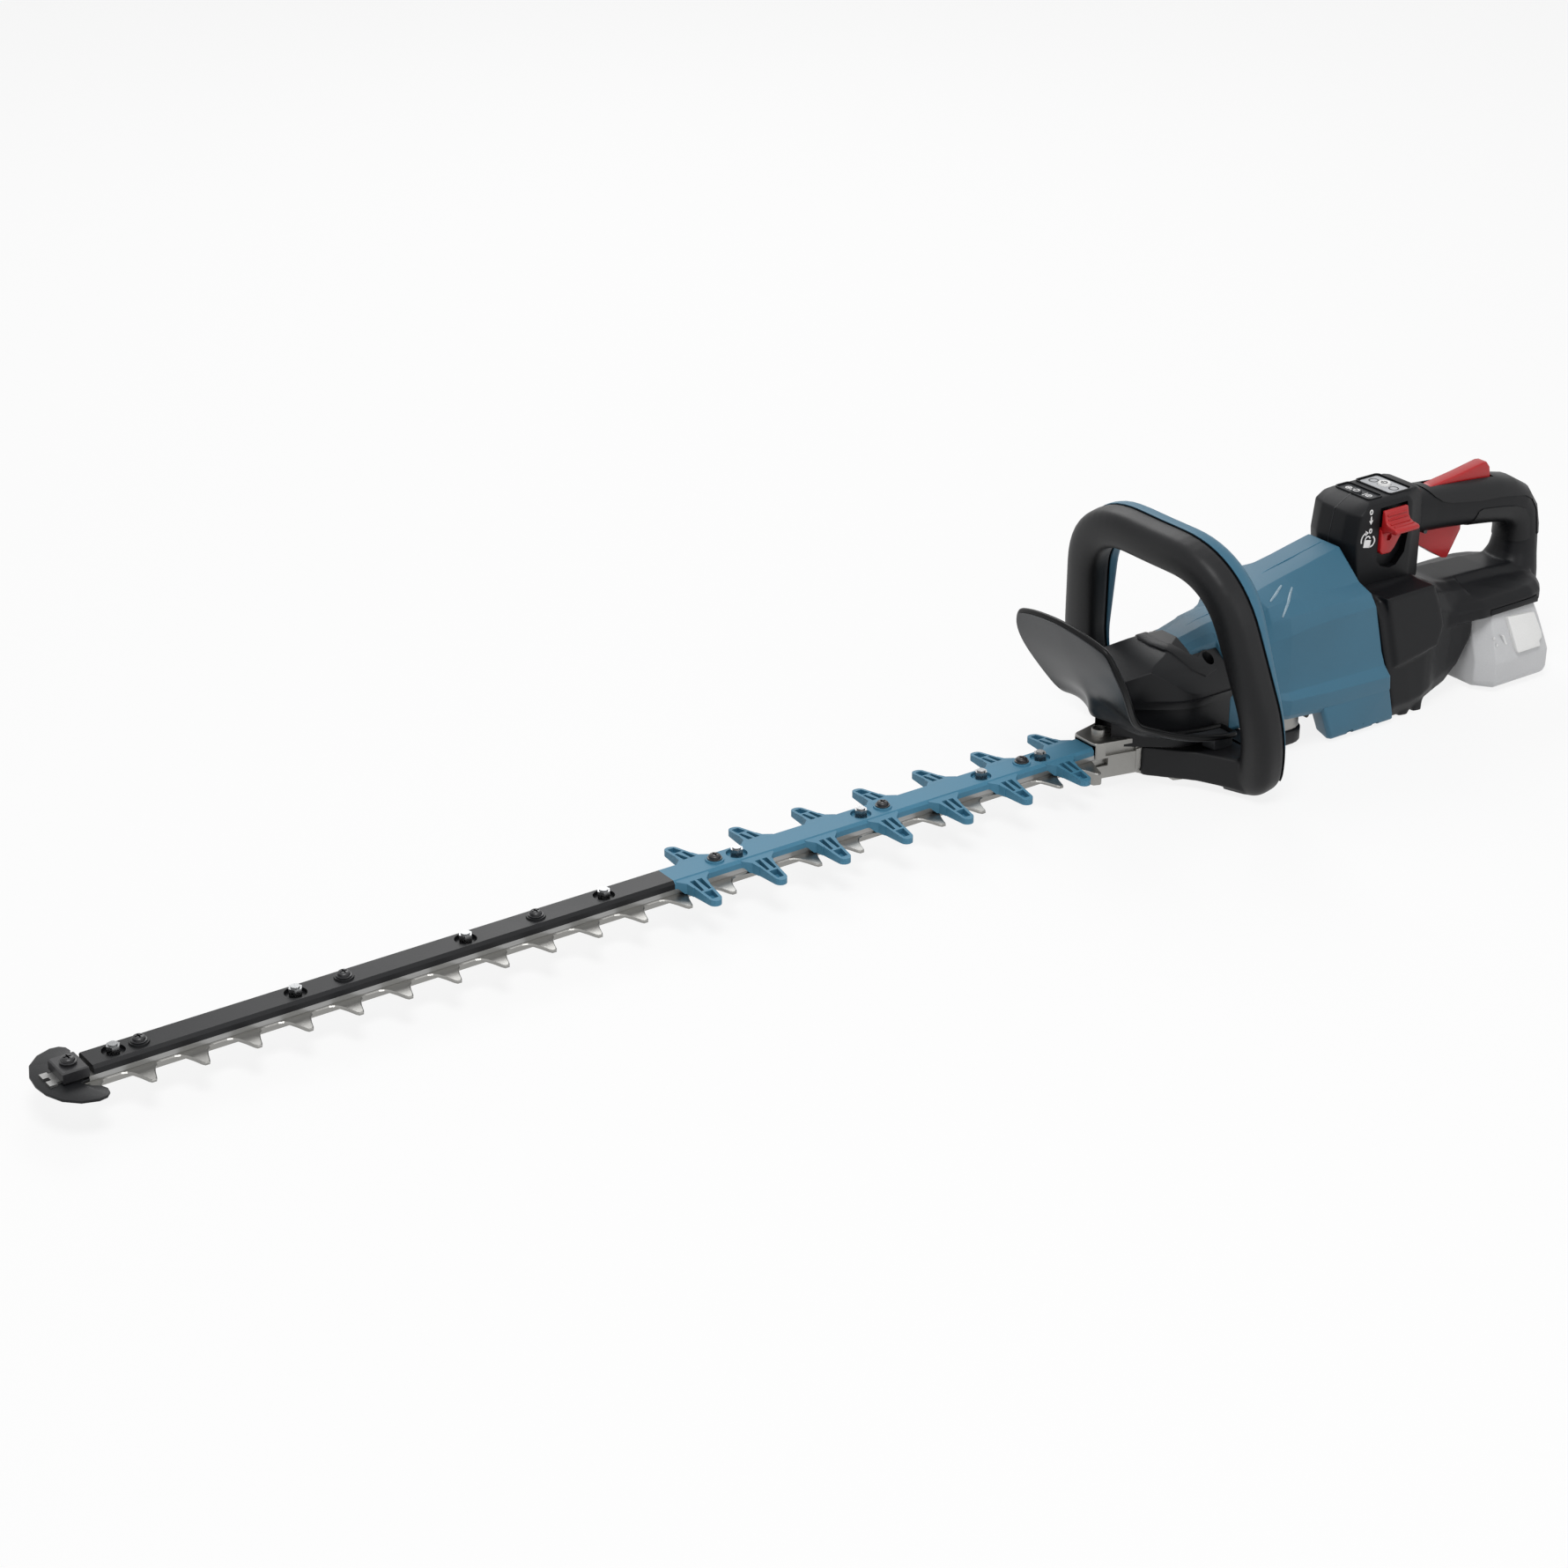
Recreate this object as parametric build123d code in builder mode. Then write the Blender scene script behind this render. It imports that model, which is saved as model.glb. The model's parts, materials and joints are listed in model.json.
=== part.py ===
from build123d import *
import math
import os

# Hedge trimmer, double-sided, cordless. Millimetres. X runs along the tool: -X is the blade tip,
# +X the rear handle. +Z is up. The origin is on the ground under the foot of the front handle,
# on the middle plane of the tool.

# ---------------------------------------------------------------- clearances
fit = 0.05            # running fit, radial
slip = 0.3            # between curved or moulded faces of neighbouring pieces
open_gap = 0.3        # axial gap at the opened eccentric pivots

# ---------------------------------------------------------------- shear blades
blade_z = 22.0        # plane between the two blades
blade_t = 2.5
blade_gap = 0.1
pitch = 35.0
tooth_count = 23
tooth_0_x = -883.0    # foremost tooth
tooth_tip_y = 31.0
tooth_tip_w = 6.0
tooth_root_w = 17.0
root_flare = 5.0
band_half = 12.5
blade_front = 14.0    # blade ahead of the foremost tooth
blade_stroke = 17.5   # travel of each blade, end to end
tail_x = -72.0        # connecting-rod pin
tail_r = 9.0
slot_w = 6.4
ground_edge = 0.9      # ground bevel along the teeth
rod_pin_r = 4.0

# ---------------------------------------------------------------- guide bar and covers
bar_t = 3.5
bar_half = 11.0
bar_front = -905.0
tongue_x = -881.0
tongue_t = 1.5
cover_t = 5.8
cover_half = 11.0
cover_chamfer = 2.0
cover_front = -877.6
cover_joint = -463.0
cover_rear = -103.3
nut_x = (-859.9, -737.5, -616.0, -511.6, -406.1, -302.6, -197.5, -144.1)
screw_x = (-843.0, -703.6, -563.6, -423.9, -284.0, -160.9)
nut_af = 8.0
nut_h = 6.3
recess_r = 7.4
recess_depth = 2.5
bolt_r = 3.0
bolt_head_r = 6.0
bolt_head_h = 2.4
screw_head_r = 5.0
screw_head_h = 3.2
screw_r = 2.0
boss_r = 6.6
boss_h = 1.2

# ---------------------------------------------------------------- finger guards of the rear cover
finger_count = 7
finger_pitch = 52.5
finger_near_x = -449.0
finger_offset = 14.7   # far fingers stand this much further back
finger_tip_y = 42.0
finger_tip_r = 4.6
finger_root_w = 13.0
finger_drop = 4.4
finger_t = 4.6
finger_wall = 1.7

# ---------------------------------------------------------------- tip guard
tip_r = 38.0
tip_center_x = -875.0
tip_plate_t = 2.0
clamp_l = 17.0
clamp_w = 22.0
clamp_h = 7.0
clamp_x = -889.0
tip_screw_r = 5.0
tip_screw_h = 5.0

# ---------------------------------------------------------------- gear case
nose_front = -103.0
nose_half = 20.0
nose_bottom = 12.0
nose_foot_z = 8.0
nose_foot_l = 7.0
nose_bolt_x = -88.0
nose_boss_r = 6.5
nose_boss_h = 4.5
nose_top = 42.0
case_bottom = 3.0
case_floor = 10.4
case_top = 57.0
case_ceiling = 52.0
case_r = 40.0
case_rear_r = 30.0
case_wall = 3.4
crank_x = -30.0

# ---------------------------------------------------------------- crank, gears, rods
crank_module = 1.25
crank_teeth = 54
idler_teeth_small = 12
motor_module = 1.0
idler_teeth_large = 50
pinion_teeth = 10
backlash = 0.35
crank_gear_z = 34.6
crank_gear_t = 7.6
idler_gear_z = 45.2
idler_gear_t = 5.6
eccentric_r = 18.0
eccentric_t = 4.0
shaft_r = 5.0
rod_t = 4.0
rod_ring_w = 4.0
rod_w = 9.0
rod_end_r = 6.5
bearing_ro = 9.5
bearing_ri = 4.0
bearing_w = 5.0
idler_pin_r = 3.0

# ---------------------------------------------------------------- motor
stator_r = 29.0
stator_bore = 15.6
stator_z = 69.0
stator_h = 32.0
rotor_r = 15.0
motor_shaft_r = 4.0
pinion_shaft_r = 2.5
fan_r = 26.0
fan_z = 59.5
fan_h = 7.0
motor_bearing_ro = 11.0
top_bearing_z = 106.0

# ---------------------------------------------------------------- front handle
loop_x = -4.5
loop_z = 8.0
loop_lean = 18.1       # degrees, top towards the blade
loop_foot_y = 80.3
loop_side_y = 99.5
loop_side_rise = 44.0
loop_top_y = 69.0
loop_top_rise = 166.0
loop_crown_rise = 175.0
loop_w = 30.0
grip_depth = 22.0
shell_depth = 12.5
grip_round = 9.0
shell_round = 5.0
loop_side_r = 60.0
loop_top_r = 45.0
base_front = -66.0
base_front_half = 22.5
base_mid_x = -32.0
base_mid_half = 55.0
base_rear = 13.0
base_keel_x = -50.0     # the floor under the gear case starts here
base_keel_half = 46.0
base_foot_y = 76.0
base_rear_half = 96.0
base_top = 30.0
base_lift = 6.5        # front of the base stands this high over the ground

# ---------------------------------------------------------------- gear cover and hand guard
cover_nose_x = -94.0
cover_nose_r = 15.0
cover_nose_z = 76.0
cover_brow_x = -76.0
cover_brow_z = 95.0
cover_half_w = 44.0
cover_flank_z = 62.0
cover_roof_y = 29.0
cover_roof_z = 85.0
cover_ridge_y = 7.0
cover_crest = 101.0
cover_tongue_x = -27.0   # the motor housing reaches forward to here along the crest
cover_tongue_half = 24.0
cover_back_x = -2.0
cover_wall = 3.0
cover_screw_x = -14.3
cover_screw_y = 28.8
cover_screw_z = 85.3
guard_t = 3.0
guard_top_x = -133.0
guard_top_z = 135.0
guard_corner_y = 50.0
guard_corner_z = 123.0
guard_wide_y = 55.0
guard_wide_z = 100.0
guard_waist_y = 36.0
guard_waist_x = -92.0
guard_waist_z = 62.0
guard_foot_x = -31.0
guard_foot_y = 60.0
guard_foot_z = 41.0

# ---------------------------------------------------------------- motor housing
seam_x = 141.0         # swivel axis crosses the seam here
seam_z = 72.0
seam_tilt = 15.0       # degrees, swivel axis rises to the rear
seam_gap = 0.6
house_top_z = 140.0    # crest at the seam
house_crest_half = 16.0
house_shoulder_y = 45.0
house_shoulder_z = 110.0
house_half = 48.0
house_step = 5.0       # lower side ledge
house_step_z = 46.0
house_front_x = 40.0
house_front_z = 122.0
house_bottom = 1.5
house_belly_z = 28.0
house_foot_x = 94.0
house_neck_half = 41.0
motor_wall_x = 76.0
swivel_r = 20.0
swivel_flange_r = 25.0
swivel_wall = 5.0
swivel_flange_t = 3.0
swivel_bore_r = 14.0
swivel_socket = 7.0
house_screw_r = 3.6

# ---------------------------------------------------------------- rear housing
rear_half = 48.0
waist_z = 107.0
body_rear_x = 211.0
block_half = 25.0
block_front_x = 128.0
block_brow_x = 136.0
block_rear_x = 196.0
block_top_z = 170.0
neck_x = 206.0
grip_half = 17.0
grip_top_z = 157.0
grip_bottom_z = 122.0
handle_rear_x = 338.0
opening_front_x = 211.0
opening_rear_x = 299.0
arm_top_z = 91.0
arm_half = 19.0
base_half = 47.0
battery_top_z = 59.0
battery_front_x = 248.0
battery_l = 73.0
battery_half = 56.5
battery_low_z = 3.0
battery_roof_z = 79.0
rail_h = 7.0
rail_w = 52.0
rail_lip = 3.0

# ---------------------------------------------------------------- controls
trigger_half = 6.0
trigger_pivot_x = 216.0
trigger_pivot_z = 129.0
pin_r = 2.0
lockoff_half = 6.0
lockoff_pivot_x = 231.0
lockoff_pivot_z = 154.5
lock_x = 166.0
lock_half = 9.0
lock_low_z = 127.0
lock_high_z = 160.0
lock_travel = 8.0
lock_deep_y = 17.0
thumb_half = 13.0
thumb_out_y = 40.0
panel_front_x = 141.0
panel_rear_x = 190.0
panel_half = 16.0
panel_t = 1.6
button_r = 5.0
button_travel = 0.8
button_xs = (151.0, 180.0)

# ---------------------------------------------------------------- derived sizes
blade_low = blade_z - blade_gap / 2 - blade_t
blade_top = blade_z + blade_gap / 2 + blade_t
bar_low = blade_top + blade_gap
bar_top = bar_low + bar_t
case_split = bar_top     # the two case halves clamp the guide bar
bar_rear = tail_x - blade_stroke / 2 - rod_end_r - 1.0
cover_top = bar_top + cover_t
idler_x = crank_x + crank_module * (crank_teeth + idler_teeth_small) / 2
motor_x = idler_x + motor_module * (idler_teeth_large + pinion_teeth) / 2
eccentric_offset = blade_stroke / 2
upper_rod_z = blade_top + open_gap
lower_rod_z = blade_low - open_gap - rod_t
upper_eccentric_z = upper_rod_z + rod_t + open_gap
lower_eccentric_z = lower_rod_z - open_gap - eccentric_t
blade_nose_x = tooth_0_x - blade_front

os.makedirs("parts", exist_ok=True)


def finish(builder, name):
    """Label a finished piece and write its STEP file."""
    builder.part.label = name
    export_step(builder.part, f"parts/{name}.step")


# ---------------------------------------------------------------- shear blades
def tooth_points(side, inset):
    """One tooth outline with a flared root, pulled in by inset along its cutting edges."""
    root = side * (band_half - 2.0)
    steps = (
        (pitch / 2 - 3.0 - inset, band_half),
        (tooth_root_w / 2 + root_flare / 2 - inset, band_half + 2.6),
        (tooth_root_w / 2 - inset, band_half + root_flare + 2.0),
        (tooth_tip_w / 2 - inset, tooth_tip_y - inset),
    )
    right = [(half, side * y) for half, y in steps]
    left = [(-half, side * y) for half, y in reversed(steps)]
    return [(steps[0][0], root), *right, *left, (-steps[0][0], root)]


def toothed_blade(flat_z, rise):
    """Shear blade from its flat cutting face at flat_z, its ground bevels facing rise (+1 or -1)."""
    straight = blade_t - ground_edge
    with BuildPart() as bevelled_teeth:
        for side in (1, -1):
            with BuildSketch(Plane.XY.offset(flat_z)):
                Polygon(*tooth_points(side, 0), align=None)
            extrude(amount=rise * straight)
            with BuildSketch(Plane.XY.offset(flat_z + rise * straight)):
                Polygon(*tooth_points(side, 0), align=None)
            with BuildSketch(Plane.XY.offset(flat_z + rise * blade_t)):
                Polygon(*tooth_points(side, ground_edge), align=None)
            loft(ruled=True)
    with BuildPart() as blade:
        with BuildSketch(Plane.XY.offset(flat_z)):
            with Locations(((blade_nose_x + tail_x) / 2, 0)):
                Rectangle(tail_x - blade_nose_x, 2 * band_half)
            with Locations((tail_x, 0)):
                Circle(tail_r)
        extrude(amount=rise * blade_t)
        with Locations([(tooth_0_x + pitch * i, 0) for i in range(tooth_count)]):
            add(bevelled_teeth.part)
        with BuildSketch(Plane.XY.offset(flat_z)):
            with Locations([(x, 0) for x in nut_x]):
                SlotCenterToCenter(blade_stroke + 1.0, slot_w)
            with Locations((tail_x, 0)):
                Circle(rod_pin_r + fit)
        extrude(amount=rise * blade_t, mode=Mode.SUBTRACT)
    return blade.part


with BuildPart() as upper_blade:
    add(toothed_blade(blade_top - blade_t, 1))
finish(upper_blade, "upper_blade")

with BuildPart() as lower_blade:
    add(toothed_blade(blade_low + blade_t, -1))
finish(lower_blade, "lower_blade")

# ---------------------------------------------------------------- guide bar
with BuildPart() as guide_bar:
    with BuildSketch(Plane.XY.offset(bar_low)):
        with Locations(((tongue_x + bar_rear) / 2, 0)):
            Rectangle(bar_rear - tongue_x, 2 * bar_half)
    extrude(amount=bar_t)
    with BuildSketch(Plane.XY.offset(bar_top - tongue_t)):
        with Locations(((bar_front + tongue_x) / 2, 0)):
            Rectangle(tongue_x - bar_front, 1.5 * bar_half)
        with Locations((bar_front, 0)):
            Rectangle(7, 4, mode=Mode.SUBTRACT)
        with Locations((bar_front + 7, 0.75 * bar_half), (bar_front + 7, -0.75 * bar_half)):
            Rectangle(4, 4, mode=Mode.SUBTRACT)
    extrude(amount=tongue_t)
    with Locations([(x, 0, bar_top) for x in nut_x]):
        Hole(bolt_r + fit, depth=bar_t)
    with Locations([(x, 0, bar_top) for x in screw_x]):
        Hole(screw_r + fit, depth=bar_t)
    with Locations((clamp_x, 0, bar_top)):
        Hole(screw_r + fit, depth=bar_t)
finish(guide_bar, "guide_bar")


# ---------------------------------------------------------------- blade covers
def cover_section(x):
    """Flat-topped cover section with chamfered shoulders, across the tool at x."""
    with BuildSketch(Plane.YZ.offset(x)) as section:
        with BuildLine():
            Polyline(
                (-cover_half, bar_top),
                (-cover_half, cover_top - cover_chamfer),
                (cover_chamfer - cover_half, cover_top),
                (cover_half - cover_chamfer, cover_top),
                (cover_half, cover_top - cover_chamfer),
                (cover_half, bar_top),
                close=True,
            )
        make_face()
    return section.sketch


def cover_body(front, rear):
    """Cover strip from front to rear with its screw bosses, nut recesses and holes."""
    nuts = [x for x in nut_x if front < x < rear]
    screws = [x for x in screw_x if front < x < rear]
    with BuildPart() as body:
        extrude(cover_section(front), amount=rear - front, dir=(1, 0, 0))
        with BuildSketch(Plane.XY.offset(cover_top)):
            with Locations([(x, 0) for x in screws]):
                Circle(boss_r)
        extrude(amount=boss_h, taper=12)
        with Locations([(x, 0, cover_top) for x in nuts]):
            CounterBoreHole(bolt_r + fit, recess_r, recess_depth, depth=cover_t)
        with Locations([(x, 0, cover_top + boss_h) for x in screws]):
            Hole(screw_r + fit, depth=cover_t + boss_h)
    return body.part


with BuildPart() as blade_cover_front:
    add(cover_body(cover_front, cover_joint))
finish(blade_cover_front, "blade_cover_front")


def finger_outline():
    """Finger seen from above: flared root, tapering arm, round tip."""
    root_y = cover_half - cover_chamfer
    with BuildSketch() as outline:
        with Locations((0, finger_tip_y - finger_tip_r)):
            Circle(finger_tip_r)
        with Locations((0, cover_half + finger_root_w / 2)):
            Circle(finger_root_w / 2)
        make_hull()
        with BuildLine():
            Polyline((-finger_root_w, root_y), (-finger_root_w, cover_half), (-finger_root_w / 2 - 1.2, cover_half + 5),
                     (-finger_root_w / 2, cover_half + 11), (finger_root_w / 2, cover_half + 11),
                     (finger_root_w / 2 + 1.2, cover_half + 5), (finger_root_w, cover_half),
                     (finger_root_w, root_y), close=True)
        make_face()
    return outline.sketch


def finger_pockets():
    """Two long pockets beside the middle rib, and one beyond the crossbar."""
    inner_l = 13.0
    outer_l = 9.0
    inner_y = cover_half + 3.5 + inner_l / 2
    outer_y = cover_half + 3.5 + inner_l + finger_wall + outer_l / 2
    side_x = finger_root_w / 4 - finger_wall / 4
    with BuildSketch() as pockets:
        with Locations((-side_x, inner_y), (side_x, inner_y)):
            Trapezoid(finger_root_w / 2 - 1.5 * finger_wall, inner_l, 86)
        with Locations((0, outer_y)):
            Trapezoid(2 * (finger_tip_r - finger_wall) + 1.0, outer_l, 84)
    return pockets.sketch


with BuildPart() as finger:
    finger_low = blade_top + slip
    finger_high = cover_top - 0.6
    add(finger_outline())
    extrude(amount=cover_top)
    with BuildSketch(Plane.YZ):
        with BuildLine():
            Polyline(
                (cover_half - cover_chamfer, bar_top),
                (cover_half - cover_chamfer, finger_high),
                (finger_tip_y, finger_high - finger_drop),
                (finger_tip_y, finger_low),
                (bar_half + 4, finger_low),
                (bar_half + 1, bar_top),
                close=True,
            )
        make_face()
    extrude(amount=finger_root_w, both=True, mode=Mode.INTERSECT)
    with BuildSketch(Plane.XY.offset(finger_low + 1.6)):
        add(finger_pockets())
    extrude(amount=finger_t + finger_drop, mode=Mode.SUBTRACT)

finger_places = [Location((finger_near_x + finger_pitch * i, 0, 0), (0, 0, 180)) for i in range(finger_count)]
finger_places += [Location((finger_near_x + finger_offset + finger_pitch * i, 0, 0)) for i in range(finger_count)]

with BuildPart() as blade_cover_rear:
    add(cover_body(cover_joint, cover_rear))
    with Locations(finger_places):
        add(finger.part)
finish(blade_cover_rear, "blade_cover_rear")

# ---------------------------------------------------------------- blade fasteners
bolt_head_low = blade_low - blade_gap - bolt_head_h
nut_low = cover_top - recess_depth
with BuildPart() as guide_bolts:
    with BuildSketch(Plane.XY.offset(bolt_head_low)):
        with Locations([(x, 0) for x in nut_x]):
            Circle(bolt_head_r)
    extrude(amount=bolt_head_h)
    with BuildSketch(Plane.XY.offset(bolt_head_low)):
        with Locations([(x, 0) for x in nut_x]):
            Circle(bolt_r)
    extrude(amount=nut_low + nut_h + 1.0 - bolt_head_low)
finish(guide_bolts, "guide_bolts")

with BuildPart() as guide_nuts:
    with BuildSketch(Plane.XY.offset(nut_low)):
        with Locations([(x, 0) for x in nut_x]):
            RegularPolygon(nut_af / 2, 6, major_radius=False)
            Circle(bolt_r + fit, mode=Mode.SUBTRACT)
    extrude(amount=nut_h)
finish(guide_nuts, "guide_nuts")

with BuildPart() as cover_screws:
    with BuildSketch(Plane.XY.offset(cover_top + boss_h)):
        with Locations([(x, 0) for x in screw_x]):
            Circle(screw_head_r)
    extrude(amount=screw_head_h, taper=10)
    with BuildSketch(Plane.XY.offset(bar_low)):
        with Locations([(x, 0) for x in screw_x]):
            Circle(screw_r)
    extrude(amount=cover_top + boss_h - bar_low)
finish(cover_screws, "cover_screws")

# ---------------------------------------------------------------- tip guard
with BuildPart() as tip_guard:
    with BuildSketch(Plane.XY.offset(bar_low)) as crescent:
        with Locations((tip_center_x, 0)):
            Circle(tip_r)
        with Locations((tip_center_x + tip_r, 0)):
            Rectangle(2 * tip_r, 3 * tip_r, mode=Mode.SUBTRACT)
        with Locations((tip_center_x, 0)):
            Rectangle(2 * (tip_center_x - tongue_x) + 2 * slip, 2 * bar_half + 2 * slip, mode=Mode.SUBTRACT)
        fillet(crescent.vertices().group_by(Axis.X)[-1], 3.0)
    extrude(amount=tip_plate_t)
    with Locations((clamp_x, 0, bar_low + tip_plate_t)):
        Hole(screw_r + fit, depth=tip_plate_t)
finish(tip_guard, "tip_guard")

with BuildPart() as tip_clamp:
    with BuildSketch(Plane.XY.offset(bar_top)):
        with Locations((clamp_x, 0)):
            Rectangle(clamp_l, clamp_w)
    extrude(amount=clamp_h)
    chamfer(tip_clamp.faces().sort_by(Axis.Z)[-1].edges(), 0.8)
    with Locations((clamp_x, 0, bar_top + clamp_h)):
        Hole(screw_r + fit, depth=clamp_h)
finish(tip_clamp, "tip_clamp")

with BuildPart() as tip_screw:
    with BuildSketch(Plane.XY.offset(bar_top + clamp_h)):
        with Locations((clamp_x, 0)):
            Circle(tip_screw_r)
    extrude(amount=tip_screw_h, taper=6)
    with BuildSketch(Plane.XY.offset(bar_low)):
        with Locations((clamp_x, 0)):
            Circle(screw_r)
    extrude(amount=bar_t + clamp_h)
finish(tip_screw, "tip_screw")


# ---------------------------------------------------------------- gear case
def case_outline(grow, z):
    """Gear case seen from above: round over the crank, narrower behind, grown by grow."""
    with BuildSketch(Plane.XY.offset(z)) as outline:
        with Locations((crank_x, 0)):
            Circle(case_r + grow)
        with Locations((motor_x, 0)):
            Circle(case_rear_r + grow)
        make_hull()
    return outline.sketch


rod_cavity_low = lower_rod_z - slip
nose_cavity_half = band_half + 0.5
nose_slot_x = tooth_0_x + pitch * (tooth_count - 1) + pitch / 2 + blade_stroke / 2
nose_cavity_x = tail_x - blade_stroke / 2 - rod_end_r - 1.5


def nose_box(front, rear, half, low, high):
    """Solid block in the gear case nose, made apart from the case."""
    with BuildPart() as block:
        with BuildSketch(Plane.XY.offset(low)):
            with Locations(((front + rear) / 2, 0)):
                Rectangle(rear - front, 2 * half)
        extrude(amount=high - low)
    return block.part


with BuildPart() as gear_case_lower:
    add(nose_box(nose_front, crank_x, nose_half, nose_bottom, case_split))
    add(nose_box(nose_front, nose_front + nose_foot_l, nose_half, nose_foot_z, case_split))
    fillet(gear_case_lower.edges().filter_by(Axis.Z).group_by(Axis.X)[0], 2.5)
    extrude(case_outline(0, case_bottom), amount=case_split - case_bottom)
    # room for the lower eccentric and its rod, for the blades and for the guide bar
    extrude(case_outline(-case_wall, case_floor), amount=case_split - case_floor, mode=Mode.SUBTRACT)
    add(nose_box(nose_cavity_x, crank_x, nose_cavity_half, rod_cavity_low, case_split), mode=Mode.SUBTRACT)
    add(nose_box(nose_front - 1, crank_x, nose_cavity_half, blade_low - slip, bar_low), mode=Mode.SUBTRACT)
    add(nose_box(nose_front - 1, nose_slot_x, nose_half + 1, blade_low - slip, blade_top + slip), mode=Mode.SUBTRACT)
    add(nose_box(nose_front - 1, crank_x, bar_half + fit, bar_low - 1, bar_top), mode=Mode.SUBTRACT)
    add(nose_box(nose_front, base_keel_x + 2, 40, 0, base_lift + slip), mode=Mode.SUBTRACT)
    with Locations((crank_x, 0, case_floor)):
        Hole(bearing_ro + fit, depth=bearing_w)
    with Locations((idler_x, 0, case_floor)):
        Hole(idler_pin_r + fit, depth=bearing_w)
finish(gear_case_lower, "gear_case_lower")

with BuildPart() as gear_case_upper:
    add(nose_box(nose_front, crank_x, nose_half - 1.0, case_split, nose_top))
    fillet(gear_case_upper.edges().filter_by(Axis.Z).group_by(Axis.X)[0], 2.5)
    with BuildSketch(Plane.XY.offset(nose_top)):
        with Locations((nose_bolt_x, 0)):
            Circle(nose_boss_r)
    extrude(amount=nose_boss_h)
    extrude(case_outline(0, case_split), amount=case_top - case_split)
    extrude(case_outline(-case_wall, case_split), amount=case_ceiling - case_split, mode=Mode.SUBTRACT)
    add(nose_box(nose_cavity_x, crank_x, nose_cavity_half, case_split, upper_rod_z + rod_t + slip), mode=Mode.SUBTRACT)
    with Locations((crank_x, 0, case_ceiling + bearing_w - 1)):
        Hole(bearing_ro + fit, depth=bearing_w)
    with Locations((idler_x, 0, case_ceiling + bearing_w - 1)):
        Hole(idler_pin_r + fit, depth=bearing_w)
    with Locations((motor_x, 0, case_top)):
        Hole(motor_bearing_ro + fit, depth=case_top - case_ceiling)
    with Locations((nose_bolt_x, 0, nose_top + nose_boss_h)):
        Hole(screw_r + fit, depth=nose_top + nose_boss_h - case_split - 2)
finish(gear_case_upper, "gear_case_upper")

with BuildPart() as nose_bolt:
    with BuildSketch(Plane.XY.offset(nose_top + nose_boss_h)):
        with Locations((nose_bolt_x, 0)):
            Circle(nose_boss_r - 1.2)
    extrude(amount=4.0)
    with BuildSketch(Plane.XY.offset(nose_top + nose_boss_h)):
        with Locations((nose_bolt_x, 0)):
            Circle(screw_r)
    extrude(amount=-(nose_top + nose_boss_h - case_split - 3))
finish(nose_bolt, "nose_bolt")


def ring_bearing(center_x, z, outer, inner, width):
    """Sealed ball bearing as one ring."""
    with BuildPart() as ring:
        with BuildSketch(Plane.XY.offset(z)):
            with Locations((center_x, 0)):
                Circle(outer)
                Circle(inner, mode=Mode.SUBTRACT)
        extrude(amount=width)
    return ring.part


with BuildPart() as crank_bearings:
    add(ring_bearing(crank_x, case_floor - bearing_w, bearing_ro, bearing_ri + fit, bearing_w))
    add(ring_bearing(crank_x, case_ceiling, bearing_ro, bearing_ri + fit, bearing_w - 1))
finish(crank_bearings, "crank_bearings")

with BuildPart() as idler_pin:
    with BuildSketch(Plane.XY.offset(case_floor - bearing_w)):
        with Locations((idler_x, 0)):
            Circle(idler_pin_r)
    extrude(amount=case_ceiling + bearing_w - 1 - (case_floor - bearing_w))
finish(idler_pin, "idler_pin")


# ---------------------------------------------------------------- crank, rods and gears
def gear_solid(module, teeth, center_x, z, width, turn, bore, stub):
    """Spur gear with straight-flanked teeth; turn is the angle of its first tooth."""
    pitch_r = module * teeth / 2
    half = math.pi * module / 4 - backlash / 4
    tip = (pitch_r + stub * module, half - 0.42 * stub * module)
    root = (pitch_r - 1.15 * module, half + 0.25 * module)
    with BuildPart() as gear:
        with BuildSketch(Plane.XY.offset(z)):
            with Locations((center_x, 0)):
                Circle(pitch_r - 1.05 * module)
                with PolarLocations(0, teeth, start_angle=turn):
                    Polygon((root[0], -root[1]), (tip[0], -tip[1]), (tip[0], tip[1]), (root[0], root[1]), align=None)
                Circle(bore, mode=Mode.SUBTRACT)
        extrude(amount=width)
    return gear.part


with BuildPart() as crankshaft:
    with BuildSketch(Plane.XY.offset(case_floor - bearing_w + slip)):
        with Locations((crank_x, 0)):
            Circle(bearing_ri)
    extrude(amount=case_ceiling + bearing_w - 1 - slip - (case_floor - bearing_w + slip))
    with BuildSketch(Plane.XY.offset(case_floor + 0.2)):
        with Locations((crank_x, 0)):
            Circle(shaft_r)
    extrude(amount=case_ceiling - case_floor - 0.4)
    for z, side in ((upper_eccentric_z, 1), (lower_eccentric_z, -1)):
        with BuildSketch(Plane.XY.offset(z)):
            with Locations((crank_x, side * eccentric_offset)):
                Circle(eccentric_r)
        extrude(amount=eccentric_t)
finish(crankshaft, "crankshaft")

with BuildPart() as crank_gear:
    add(gear_solid(crank_module, crank_teeth, crank_x, crank_gear_z, crank_gear_t, 0, shaft_r, 0.85))
finish(crank_gear, "crank_gear")


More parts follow.
